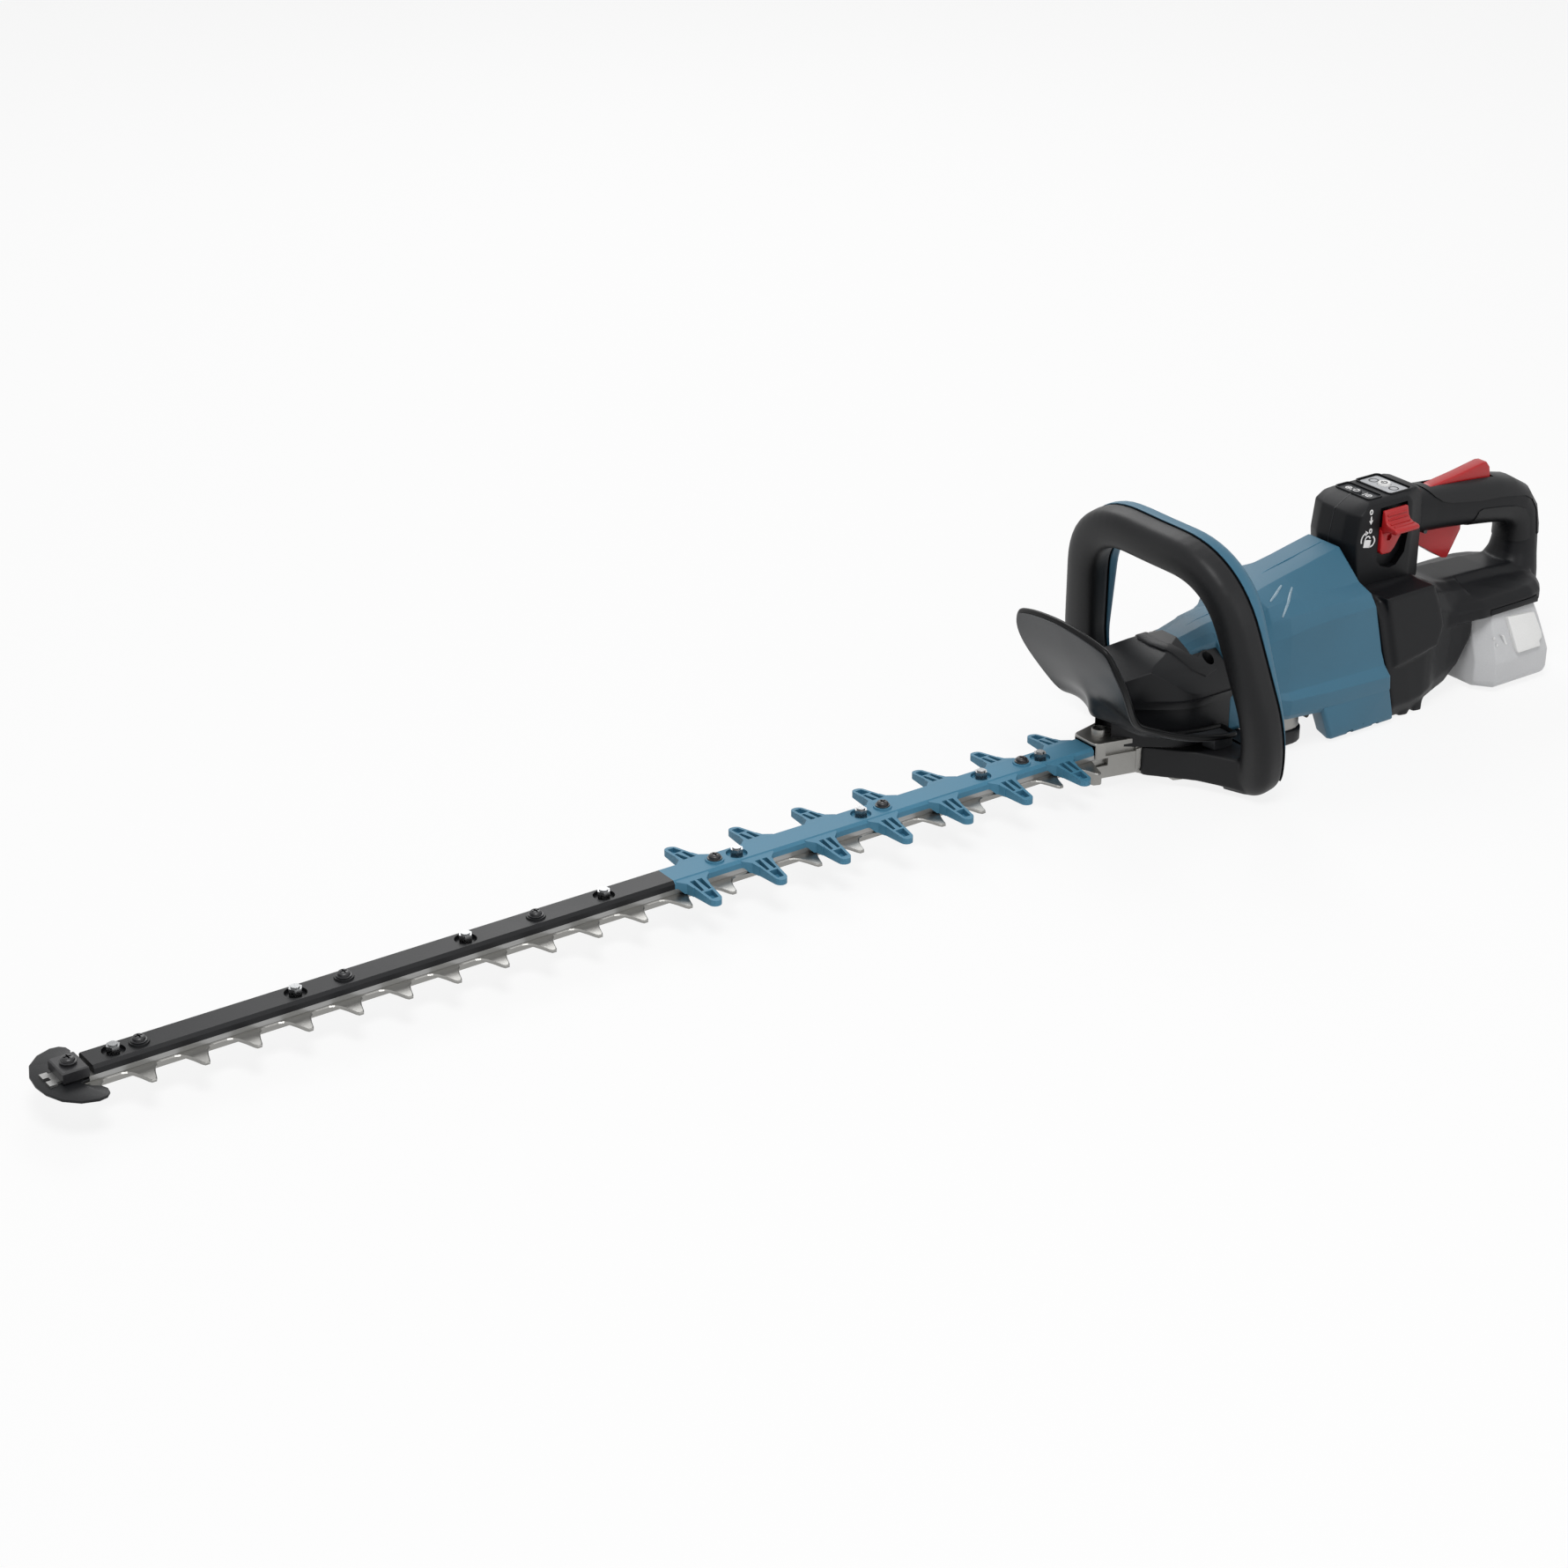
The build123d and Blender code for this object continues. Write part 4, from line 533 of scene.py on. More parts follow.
def oval(width, depth, middle, flat_back, count=28):
    """Round-fronted profile: elliptical towards the blade, squarer behind."""
    points = []
    for i in range(count):
        a = 2 * math.pi * i / count
        power = 2.0 / flat_back if math.sin(a) > 0 else 2.0 / 2.4
        c, s = (math.copysign(abs(f(a)) ** power, f(a)) for f in (math.cos, math.sin))
        points.append((width / 2 * c, middle + depth / 2 * s))
    return points


def shell_depth(rise):
    """Share of its full depth that the teal shell has at a height on the front handle."""
    return max(0.12, min(1.0, 0.12 + 0.88 * (rise - 40.0) / 112.0))


def ground_under(level):
    """Cutter for all of the front handle that lies under a level."""
    return centred(-120, 80, 150, -60.0, level)


def grip_loop():
    """Black front of the loop handle, fused with the base that runs under the gear case."""
    bm = bmesh.new()
    loop_sweep(bm, oval(30.0, 22.0, 0.0, 6.0))
    half = [(-66, 22.5), (-41, 52), (-31, 72), (-25, 84), (-6, 84), (3, 70), (10, 55), (14, 30)]
    slab(bm, whole(half), 6.4, 29.6, "Z")
    for side in (1, -1):
        slab(bm, [(-29, side * 68), (-23, side * 84), (-6, side * 84), (0, side * 66)], 3.0, 12.0, "Z")
    bm = melted(bm, 1.2, 9)
    nose_gap = centred(-110, -50, 20.4, 3.0, 50.0)
    case_gap = post(CRANK_X, 0, 3.2, 70, CASE_RADIUS, 64)
    bm = carved(bm, ground_under(0.0), case_gap, nose_gap)
    make("front_handle.grip", bm, soft_grip, ("front_handle_front",), angle=50.0)


def teal_loop():
    """Teal rear shell of the loop handle, deep at the crown and thin at the feet, with a dark seam in front."""
    bm = bmesh.new()
    profile = [(14.5, SHELL_FRONT), (14.2, 14.5), (13.0, 18.4), (10.4, 21.6), (6.0, 23.3), (0.0, 23.8), (-6.0, 23.8),
               (-11.6, 22.9), (-14.2, 20.4), (-14.9, 17.0), (-14.8, SHELL_FRONT), (0.0, SHELL_FRONT)]
    loop_sweep(bm, profile, shell_depth)
    make("front_handle.shell", carved(bm, ground_under(SHELL_END)), teal_shell, ("front_handle_rear",), angle=40.0)
    seam = bmesh.new()
    loop_sweep(seam, oval(28.6, 2.4, 10.8, 3.0, 12))
    seam = carved(seam, ground_under(16.0))
    make("front_handle.seam", seam, black_shell, (), "tool_body", angle=50.0)


# ---------------------------------------------------------------- hand guard
GUARD_ROWS = (
    ((-130.8, 0, 134.5), (-129.8, 27, 132.0), (-127.0, 48.5, 125.8)),
    ((-127.6, 0, 126.0), (-126.4, 28, 123.5), (-124.0, 53.6, 115.0)),
    ((-119.5, 0, 107.5), (-118.4, 29, 105.0), (-116.5, 54.8, 100.0)),
    ((-110.0, 0, 91.0), (-108.6, 27, 89.0), (-107.5, 50.5, 84.5)),
    ((-102.4, 0, 78.0), (-100.4, 24, 76.0), (-99.5, 45.5, 71.5)),
    ((-98.4, 0, 70.5), (-92.0, 22, 69.0), (-94.5, 43.6, 64.0)),
    ((-97.4, 0, 63.0), (-85.5, 21, 61.5), (-89.0, 42.6, 58.6)),
    ((-97.0, 0, 55.5), (-83.5, 21, 55.0), (-81.0, 42.4, 54.6)),
    ((-86.0, 10.5, 52.5), (-79.5, 25, 51.0), (-71.5, 43.6, 50.4)),
    ((-80.0, 18.5, 47.5), (-72.5, 31, 47.0), (-62.5, 46.2, 46.8)),
    ((-73.0, 25.5, 43.8), (-63.0, 37.0, 43.5), (-51.0, 50.0, 43.2)),
    ((-62.0, 33.5, 42.2), (-52.0, 43.5, 42.0), (-38.5, 55.4, 41.4)),
    ((-48.0, 40.0, 41.6), (-38.0, 49.0, 41.5), (-24.0, 60.0, 40.4)),
    ((-32.0, 44.6, 41.2), (-26.0, 52.0, 41.0), (-18.0, 60.2, 40.1)),
    ((-13.8, 44.8, 40.6), (-13.7, 52.0, 40.5), (-13.6, 60.2, 40.0)),
)


def guard_sheet():
    """Both halves of the guard as an open sheet, front face outwards."""
    bm = bmesh.new()
    rows = len(GUARD_ROWS)
    for side in (1, -1):
        grid = bmesh.ops.create_grid(bm, x_segments=8, y_segments=rows - 1, size=1.0)["verts"]
        for vert in grid:
            u = (vert.co.x + 1) / 2
            inner, middle, outer = (Vector(p) for p in GUARD_ROWS[round((1 - vert.co.y) / 2 * (rows - 1))])
            at = inner * (1 - u) * (1 - 2 * u) + middle * 4 * u * (1 - u) + outer * u * (2 * u - 1)
            vert.co = (at.x, at.y * side, at.z)
    tidy(bm, 0.2)
    bm = subdivided(bm, 2)
    faced(bm)
    front = max(bm.faces, key=lambda f: f.calc_center_median().z)
    if front.normal.x > 0:
        bmesh.ops.reverse_faces(bm, faces=bm.faces)
    return bm


FIRST_EDGE = 20         # edge of the guard's border at which its bead starts


def boundary_loops(sheet):
    """Closed chains of points along the open edges of a sheet, in the same order each run."""
    left = [e for e in sheet.edges if e.is_boundary]
    chains = []
    while left:
        first, here = left.pop(min(FIRST_EDGE, len(left) - 1)).verts
        chain = [first.co.copy(), here.co.copy()]
        while here is not first:
            step = next((e for e in here.link_edges if e in left), None)
            if step is None:
                break
            left.remove(step)
            here = step.other_vert(here)
            chain.append(here.co.copy())
        chains.append(chain[:-1])
    return chains


def guard_shield():
    """Thin dished shield that rises over the nose and sweeps back along both sides of the gear cover, with a bead
    whose near-black colour is partly painted shade on the edge's thickness.
    """
    bm = guard_sheet()
    bmesh.ops.solidify(bm, geom=bm.faces, thickness=-2.8)
    tidy(bm)
    for side in (1, -1):
        slab(bm, [(-31, side * 46), (-14, side * 46), (-14, side * 59), (-29, side * 57)], 30.2, 40.5, "Z")
    make("hand_guard.shield", bm, shield, ("hand_guard",), angle=50.0)
    sheet = guard_sheet()
    bmesh.ops.translate(sheet, vec=(0.4, 0, 0.1), verts=sheet.verts)
    border = bpy.data.curves.new("guard border", "CURVE")
    border.dimensions = "3D"
    border.bevel_depth, border.bevel_resolution = 2.3, 3
    for chain in boundary_loops(sheet):
        spline = border.splines.new("NURBS")
        spline.points.add(len(chain) - 1)
        for point, at in zip(spline.points, chain):
            point.co = (*at, 1.0)
        spline.use_cyclic_u, spline.order_u, spline.resolution_u = True, 3, 2
    sheet.free()
    drawn = placed("guard border", border)
    bead = bmesh.new()
    bead.from_mesh(bpy.data.meshes.new_from_object(drawn))
    bpy.data.objects.remove(drawn)
    tidy(bead)
    # The bead's near-black colour is partly painted shade.
    make("hand_guard.rim", bead, rim_black_with_painted_shade, (), node_body["hand_guard"], angle=60.0)


# ---------------------------------------------------------------- gear cover
HOOD_SCREW_X, HOOD_SCREW_Y = -14.3, 28.8


def teardrop(nose_x, nose_r, half, rear):
    """Outline of the hood from above: round nose, straight flanks, full width over the crank."""
    spread = math.asin((half - nose_r) / (CRANK_X - (nose_x + nose_r)))
    points = []
    for i in range(13):
        a = math.radians(180) - (math.radians(90) - spread) * i / 12
        points.append((nose_x + nose_r + nose_r * math.cos(a), nose_r * math.sin(a)))
    for i in range(9):
        a = math.radians(90) + spread - spread * i / 8
        points.append((CRANK_X + half * math.cos(a), half * math.sin(a)))
    return whole(points + [(rear, half)])


def hood_cuts(foot):
    """Cutters for the neck of the motor housing and for the wells of both hood screws from their foot up."""
    neck = centred(-26.9, 10, 23.9, 30.0, 120.0)
    return neck, [post(HOOD_SCREW_X, side * HOOD_SCREW_Y, foot, 104.0, 4.4) for side in (1, -1)]


def gear_hood():
    """Black hood over the gear case: sloping roof, bulged brow, recessed wall, sunk screws and raised collar."""
    wall = solid(teardrop(-93.6, 15.5, 44.0, -2.3), 30.4, 110.0, "Z")
    roof = whole([(0, 101.6), (7, 101.4), (20, 95.4), (30, 87.6), (38, 79.5), (44, 70.5), (44.2, 30)], flip=0)
    ridge = [(-98, 30), (-98, 64), (-84, 81.5), (-61, 92.5), (-27, 101.0), (2, 101.8), (2, 30)]
    hood = combined("INTERSECT", wall, solid(roof, -100.0, 0.0, "X"), solid(ridge, -60.0, 60.0))
    merged_planes(hood)
    round_edges(hood, 3.2, 4, 24.0)
    belly = solid(teardrop(-89.5, 13.5, 41.6, 2.0), 20.0, 61.0, "Z")
    skirt = carved(centred(-140, 20, 70, 20.0, 61.0), belly)
    lower = bmesh.new()
    loft(lower, [ring(lower, [(x, y, z) for x, y in teardrop(-89.5 - swell, 13.5, 41.6 + swell, -2.3)])
                 for z, swell in ((56.0, 0.0), (62.0, 1.2), (67.0, 3.6))])
    nose_bay = centred(-120, -79, 9, 20.0, 57.0)
    hood = combined("UNION", carved(hood, skirt), lower)
    neck, wells = hood_cuts(78.0)
    make("gear_cover.hood", carved(hood, neck, nose_bay, *wells), black_cover, ("gear_cover",), angle=30.0)
    collar = whole([(-38, 0), (-38, 10), (-31, 21), (-23, 27), (-17, 24.0), (-12, 24.0), (-12, 36), (-24, 38),
                    (-33, 33), (-45, 14), (-46, 0)])
    raised = solid(roof, -60.0, -4.0, "X")
    bmesh.ops.translate(raised, vec=(0, 0, 1.1), verts=raised.verts)
    ridge = [(-60, 60), (-60, 94.2), (-27, 102.4), (2, 103.2), (2, 60)]
    lip = combined("INTERSECT", raised, solid(collar, 70.0, 110.0, "Z"), solid(ridge, -60.0, 60.0))
    neck, wells = hood_cuts(60.0)
    lip = carved(lip, neck, *wells)
    merged_planes(lip)
    round_edges(lip, 0.5, 2, 35.0)
    make("gear_cover.collar", lip, black_cover, (), "tool_body", angle=30.0)


# ---------------------------------------------------------------- motor housing
SEAM_X, SEAM_Z, SEAM_TILT = 141.0, 72.0, math.radians(15.0)


def seam_at(z, gap=0.0):
    """X of the tilted seam between motor and rear housing at a height, moved back by a gap."""
    return SEAM_X - (z - SEAM_Z) * math.tan(SEAM_TILT) + gap / math.cos(SEAM_TILT)


def section(x, corners):
    """Section of a housing from (y, z) corners of one half; x may be a function of z."""
    place = x if callable(x) else (lambda z: x)
    return mirrored([(place(z), y, z) for y, z in corners])


def motor_station(x, crest, crest_y, high, shoulder, upper, middle, ledge_in, ledge_out, low, bottom):
    """Section of the motor housing at x: roof, shoulder, side, ledge and underside."""
    return section(x, [(0, crest), (crest_y, crest), high, shoulder, upper, middle, ledge_in, ledge_out, low,
                       (low[0] - 3, bottom), (0, bottom)])


def shell_creases(skin):
    """Two creases on each side of the motor housing, laid on its skin; their lighter teal is a painted highlight."""
    creases = bmesh.new()
    steps, sides = 12, 10
    for side in (1, -1):
        for start, end in (((38.0, 36.4, 123.0), (51.5, 34.6, 132.4)), ((43.6, 43.2, 111.4), (59.5, 36.8, 129.6))):
            inward = Vector((0.517, -0.737 * side, -0.434))
            run = Vector((end[0] - start[0], 0, end[2] - start[2]))
            rings = []
            for i in range(steps + 1):
                first, last = (Vector((x, side * y, z)) for x, y, z in (start, end))
                at = first.lerp(last, i / steps)
                hit, normal, _, _ = skin.ray_cast(at - inward * 30.0, inward)
                across = normal.cross(run).normalized()
                wide = 0.3 + 0.8 * math.sin(math.pi * (0.08 + 0.84 * i / steps)) ** 0.5
                turns = [2 * math.pi * k / sides for k in range(sides)]
                rings.append(ring(creases, [hit + across * wide * math.cos(a) + normal * 0.55 * math.sin(a)
                                            for a in turns]))
            loft(creases, rings)
    faced(creases)
    return creases


def motor_foot():
    """Solid foot under the rear of the motor housing."""
    foot = bmesh.new()
    levels = []
    for z, front, half in ((31.5, 82.0, 51.3), (8.0, 91.5, 50.6), (3.6, 93.2, 49.8), (1.6, 95.0, 47.6)):
        rear = seam_at(z) - 1.2
        levels.append([(front + 34, 0, z), (front + 33, 27, z), (front + 5, 30, z), (front, half - 3, z),
                       (front + 2, half, z), (rear, half, z), (rear, 0, z)])
    loft(foot, [ring(foot, mirrored(level)) for level in levels])
    faced(foot)
    round_edges(foot, 1.0, 3, 20.0)
    return foot


def motor_shell():
    """Teal motor housing: narrow neck, flared body with shoulder creases, side ledge and notched foot."""
    bm = bmesh.new()
    stations = (
        motor_station(-26.7, 99.5, 8, (15, 97), (20, 94), (23.6, 90), (23.6, 82), (23.6, 74), (23.6, 68),
                      (23.6, 62), 58),
        motor_station(-2.6, 105.6, 10, (18, 102), (23.6, 97), (23.7, 90), (23.7, 82), (23.7, 74), (23.7, 68),
                      (23.7, 62), 58),
        motor_station(-1.5, 105.8, 10, (20, 101.5), (29, 92), (36, 80), (40.5, 66), (41, 56), (41, 48), (41, 34),
                      30.5),
        motor_station(17, 108.2, 11, (22, 103), (31, 94), (38, 82), (42, 66), (42.5, 56), (43, 48), (43, 34), 30.5),
        motor_station(30, 114.0, 13, (26, 107), (33.5, 97), (39, 84), (43.2, 66), (43.8, 54), (44.5, 47), (44.5, 34),
                      30.2),
        motor_station(38, 121.4, 15, (32.5, 116.5), (37.5, 106), (41.0, 92), (44.0, 62), (44.5, 52), (45.5, 47.5),
                      (45.5, 34), 30.2),
        motor_station(51, 125.4, 16, (35.5, 119.5), (43.0, 109), (46.6, 96), (45.6, 61), (46.5, 51), (51.0, 46.0),
                      (50, 34), 29.5),
        motor_station(68, 129.0, 16, (35.0, 118.0), (44.0, 110), (47.6, 99), (46.3, 61), (47.3, 51), (52.5, 45.8),
                      (50.8, 33), 28.4),
        motor_station(85, 132.0, 16, (34.0, 117.0), (44.2, 110), (47.8, 99.6), (46.7, 61), (48, 50.8), (53, 44.6),
                      (51.2, 32), 27.3),
        motor_station(100, 135.2, 16, (33.5, 116.2), (44.3, 110), (48.0, 100), (47.0, 61), (48.2, 50.6), (53.2, 43.8),
                      (51.3, 31), 26.6),
        motor_station(lambda z: seam_at(z) - 1.6, 139.4, 16, (33, 115.6), (44.5, 110), (48.3, 100), (47.4, 60.6),
                      (48.8, 49.8), (53.5, 41.6), (51.4, 30), 25.0),
        motor_station(lambda z: seam_at(z) - 0.2, 138.6, 15.4, (32.3, 115.0), (43.8, 109.4), (47.5, 99.6),
                      (46.6, 60.4), (48.0, 49.8), (52.7, 41.4), (50.6, 30), 25.6),
    )
    loft(bm, [ring(bm, station) for station in stations])
    faced(bm)
    round_edges(bm, 1.1, 3, 9.0)
    bm = combined("UNION", bm, motor_foot())
    notches = []
    for side in (-1, 1):
        for x, wide, rise, reach in ((116, 7, 5.2, 46), (142, 7.5, 4.6, 46), (128, 2.2, 8.0, 50.2)):
            near, far = x - wide / 2, x + wide / 2
            outline = [(near, -3), (near - 1.2, rise), (far - 2.2, rise), (far, -3)]
            notches.append(solid(outline, side * reach, side * 60))
    bm = carved(bm, *notches)
    skin = BVHTree.FromBMesh(bm)
    make("motor_housing.shell", bm, teal_shell, ("motor_housing_left", "motor_housing_right"), angle=26.0)
    line = [(-24, 99.9), (-2, 105.8), (17, 108.4), (30, 114.3), (38, 121.7), (68, 129.2), (100, 135.4), (119, 139.2)]
    strip = solid([(x, z + 0.12) for x, z in line] + [(x, z - 0.7) for x, z in reversed(line)], -0.22, 0.22)
    make("motor_housing.parting", strip, teal_cover, (), "tool_body")
    # The creases wear the lighter teal painted highlight.
    make("motor_housing.creases", shell_creases(skin), crease_painted_highlight, (), "tool_body", angle=60.0)
    for name, finish, slot, low, high, rear in (("undertray", black_cover, "black_plastic", 3.0, 14.6, 80.5),
                                                ("skirt", cast_alloy, "cast_aluminium", 14.4, 30.4, 79.0)):
        tray = solid(rounded(2.0, rear, rear / 2, 15.0), low, high, "Z")
        round_edges(tray, 2.0, 3, 40.0)
        make("gear_case." + name, tray, finish, (), "tool_body", angle=30.0)


# ---------------------------------------------------------------- rear housing
def body_station(x, top, top_y, high, side, low, corner, bottom):
    """Section of the rear body at x: roof, shoulder, upright side, corner and underside."""
    corners = [(0, top), (top_y, top), high, (side, high[1] - 12), (side, 58), (side, low), corner, (0, bottom)]
    return section(x, corners)



HANDLE_BAR = ((190, 145.6, 18.4, 17.2), (206, 144.9, 18.1, 16.9), (222, 143.7, 17.9, 16.4), (240, 142.2, 17.9, 16.4),
              (270, 139.2, 18.3, 16.8), (290, 136.8, 18.6, 17.0), (305, 133.8, 18.2, 16.8),
              (317.5, 127.6, 17.2, 16.4), (325.2, 118.0, 16.2, 16.0), (328.0, 107.0, 15.8, 16.0),
              (328.4, 96.0, 15.8, 16.6), (327.6, 86.0, 16.8, 18.0), (325.0, 76.0, 18.6, 22.0),
              (321.0, 66.0, 20.0, 26.0))


POWER_X, POWER_WELL = 151.4, 4.3            # middle of the key and radius of its well
REVERSE_X, REVERSE_WELL = 180.0, 5.3


def lock_bay():
    """Cutter for the bay on top of the grip that the lock-off wedge dips into."""
    outline = [(222.6, 149.6), (222.6, 184), (291.0, 184), (291.0, 146.6), (262.0, 146.6), (261.6, 149.6)]
    return solid(outline, -6.2, 6.2)



def rear_body():
    """Black rear body, arm, battery saddle and D handle fused into one soft-edged form."""
    bm = bmesh.new()
    stations = (
        body_station(lambda z: seam_at(z, 0.8), 106.5, 26, (44.5, 99.5), 48, 12, (43, 0.8), 0.8),
        body_station(lambda z: seam_at(z, 20), 106.5, 26, (44.5, 99.5), 48, 12, (43, 0.8), 0.8),
        body_station(190, 105, 25, (43.5, 98.5), 47.5, 14, (43, 3.5), 3.5),
        body_station(198, 101, 22, (40, 94), 46.5, 17, (42, 7.5), 7.5),
        body_station(206, 96, 20, (33, 89), 43.5, 20, (41, 9.5), 9.5),
        body_station(222, 89, 19, (30, 84), 40.5, 24, (38, 12.5), 12.5),
        body_station(236, 86, 19, (30, 81), 40, 34, (38, 25), 25),
        body_station(246.5, 85.5, 19, (31, 80.5), 40.5, 50, (38, 42), 42),
    )
    loft(bm, [ring(bm, station) for station in stations])
    saddle = bmesh.new()
    sections = [section(x, [(0, top), (15, top), (21, top - 5), (half - 5, 74), (half, 69), (half, 60.2), (0, 60.2)])
                for x, top, half in ((206, 94, 40), (228, 87.5, 43), (252, 86.5, 46.5), (285, 85.0, 46.5),
                                     (304, 83, 46), (316, 83, 42), (324, 82, 34))]
    loft(saddle, [ring(saddle, one) for one in sections])
    joined(bm, saddle)
    ribbon(bm, HANDLE_BAR)
    panel = [(seam_at(46, 9), 46), (163.8, 46.2), (200, 52.9), (204.3, 68.7), (199.4, 84.3), (191, 104),
             (seam_at(104, 9), 104)]
    slab(bm, panel, -50.6, 50.6)
    for x in (172.0, 186.0):
        slab(bm, [(x, -1.2), (x + 8.5, -1.6), (x + 9.5, 12), (x + 1, 12)], -44.5, 44.5)
    bm = melted(bm, 1.35, 6)
    seam = solid([(90, -20), (seam_at(-20, 0.7), -20), (seam_at(220, 0.7), 220), (90, 220)], -80, 80)
    slot = solid([(261.2, 50), (307.8, 50), (307.8, 62.2), (310.8, 62.2), (310.8, 66.4), (258.2, 66.4), (258.2, 62.2),
                  (261.2, 62.2)], -80, 44.6)
    trigger_bay = solid([(208, 110), (208, 137.5), (263, 137.5), (263, 110)], -6.4, 6.4)
    bm = carved(bm, seam, slot, trigger_bay, lock_bay())
    make("rear_housing.body", bm, black_shell, ("rear_housing_left", "rear_housing_right"), angle=50.0)


def soft_pads():
    """Rubber overmoulding: the back of the hand along the top, and a pad inside the rear of the D."""
    back = [(203, 184), (203, 174), (213, 166.0), (221, 156.5), (228, 151.5), (237, 148.6), (268, 143.6),
            (290, 142.0), (306, 139.6), (319, 136.6), (328, 131.5), (334, 122), (336, 101), (362, 101), (362, 184)]
    inside = [(264.5, 112), (264.5, 127), (267.5, 134.8), (272, 136.2), (294, 133.3), (309, 130.4), (319, 126),
              (325.6, 117), (327.4, 99.7), (295, 96), (285, 112)]
    for name, edge in (("top_pad", back), ("inner_pad", inside)):
        pad = bmesh.new()
        ribbon(pad, HANDLE_BAR, grow=0.55)
        pad = combined("INTERSECT", pad, solid(edge, -40, 40))
        if edge is back:
            pad = carved(pad, lock_bay())
        make("rear_housing." + name, pad, soft_grip, (), "rear_handle", angle=40.0)


def control_block():
    """Box behind the motor housing that carries the keys and the swivel lock."""
    bm = bmesh.new()
    rings = []
    for z, front, corner, flank, rear in (
            (98, 136.5, 139.5, 25.0, 207), (110, 132.5, 136.0, 25.0, 207), (118, 129.8, 133.5, 25.0, 207),
            (141, 126.2, 131.2, 25.0, 207), (163, 130.2, 134.2, 25.0, 206), (168.2, 139.5, 141.0, 23.8, 203),
            (171.0, 146.5, 147.5, 19.5, 199)):
        points = [(front, 0, z), (front, 13.2, z), (corner, flank, z), (rear - 20, flank, z),
                  (rear - 3, min(flank, 17.6), z), (rear, 14.0, z), (rear, 0, z)]
        rings.append(ring(bm, mirrored(points)))
    loft(bm, rings)
    faced(bm)
    round_edges(bm, 1.5, 3, 14.0)
    well = solid([(153.2, 165.2), (152.4, 124), (157.5, 118.4), (166.5, 115.4), (173.2, 116.4), (181, 125),
                  (183.4, 140), (180.8, 165.2)], -40, -19.0)
    grooves = []
    for near, far, half in ((146.8, 161.2, 18.0), (168.0, 191.0, 18.5)):
        grooves.append(solid([(near, -half + 3), (near + 3, -half), (far - 3, -half), (far, -half + 3),
                              (far, half - 3), (far - 3, half), (near + 3, half),
                              (near, half - 3)], 169.4, 180.0, "Z"))
    key_wells = [post(x, 0, 164.0, 175.0, radius) for x, radius in ((POWER_X, POWER_WELL), (REVERSE_X, REVERSE_WELL))]
    bm = carved(bm, well, *grooves, *key_wells)
    make("rear_housing.block", bm, black_shell, (), "rear_handle", angle=28.0)
    seam = solid([(126.0, 120), (126.0, 141), (130.0, 163), (139.4, 168.35), (146.4, 171.1), (147.2, 170.6),
                  (140.0, 167.6), (130.8, 162.2), (127.0, 141), (127.0, 120)], -0.22, 0.22)
    make("rear_housing.block_seam", seam, panel_film, (), "rear_handle")


def key_panel():
    """Two sunk strips on the block, each with a raised rim, a film and printed marks."""
    rims = bmesh.new()
    for near, far, half in ((146.2, 161.8, 18.6), (167.4, 191.6, 19.1)):
        joined(rims, carved(solid(rounded(near, far, half, 3.4), 169.8, 171.9, "Z"),
                            solid(rounded(near + 1.0, far - 1.0, half - 1.0, 2.6), 160.0, 180.0, "Z")))
    make("control_panel.rims", rims, black_shell, (), "rear_handle", angle=30.0)
    for name, outline, top, x, well, finish, stands_for in (
            ("dark_film", rounded(147.2, 160.8, 17.6, 2.4), 170.7, POWER_X, POWER_WELL, panel_film,
             ("control_panel",)),
            ("pale_film", rounded(170.2, 188.8, 16.6, 2.0), 170.9, REVERSE_X, REVERSE_WELL, pale_film, ()),
            ("film_base", rounded(168.4, 190.6, 18.1, 2.4), 170.5, REVERSE_X, REVERSE_WELL, panel_film, ())):
        film = carved(solid(outline, 169.4, top, "Z"), post(x, 0, 160.0, 180.0, well))
        make("control_panel." + name, film, finish, stands_for, "rear_handle")
    marks = bmesh.new()
    print_low, print_high = 170.65, 170.8
    for y in (10.5, -10.5):
        flat_ring(marks, (154.0, y, print_low), 2.6, 1.8, 0.15, "Z")
    slab(marks, oblong(153.2, 154.8, 8.9, 12.1), print_low, print_high, "Z")
    slab(marks, oblong(152.4, 155.6, -10.9, -10.1), print_low, print_high, "Z")
    for y in (6.6, -6.6):
        slab(marks, oblong(151.0, 157.0, y - 0.35, y + 0.35), print_low, print_high, "Z")
    make("control_panel.marks", marks, print_white, (), "rear_handle", angle=30.0)
    dots = bmesh.new()
    for y in (10.5, -10.5):
        flat_ring(dots, (179.5, y, 170.85), 4.0, 2.9, 0.15, "Z")
    make("control_panel.rings", dots, panel_film, (), "rear_handle", angle=30.0)


def key(node, body, x, size, finish, mark_finish):
    """Round key with a dished top and a printed ring."""
    levels = ((166.0, 5.0), (172.0, 5.0), (172.6, 4.5), (172.4, 3.4), (172.2, 0.8))
    make(node + ".key", turned(x, [(z, r * size) for z, r in levels]), finish, (node,), angle=40.0)
    mark = bmesh.new()
    flat_ring(mark, (x, 0, 172.35), 2.6, 1.8, 0.2, "Z", start=-230, stop=50)
    slab(mark, oblong(x - 0.4, x + 0.4, 0.6, 3.0), 172.35, 172.55, "Z")
    make(node + ".key.ring", mark, mark_finish, (), body, angle=30.0)


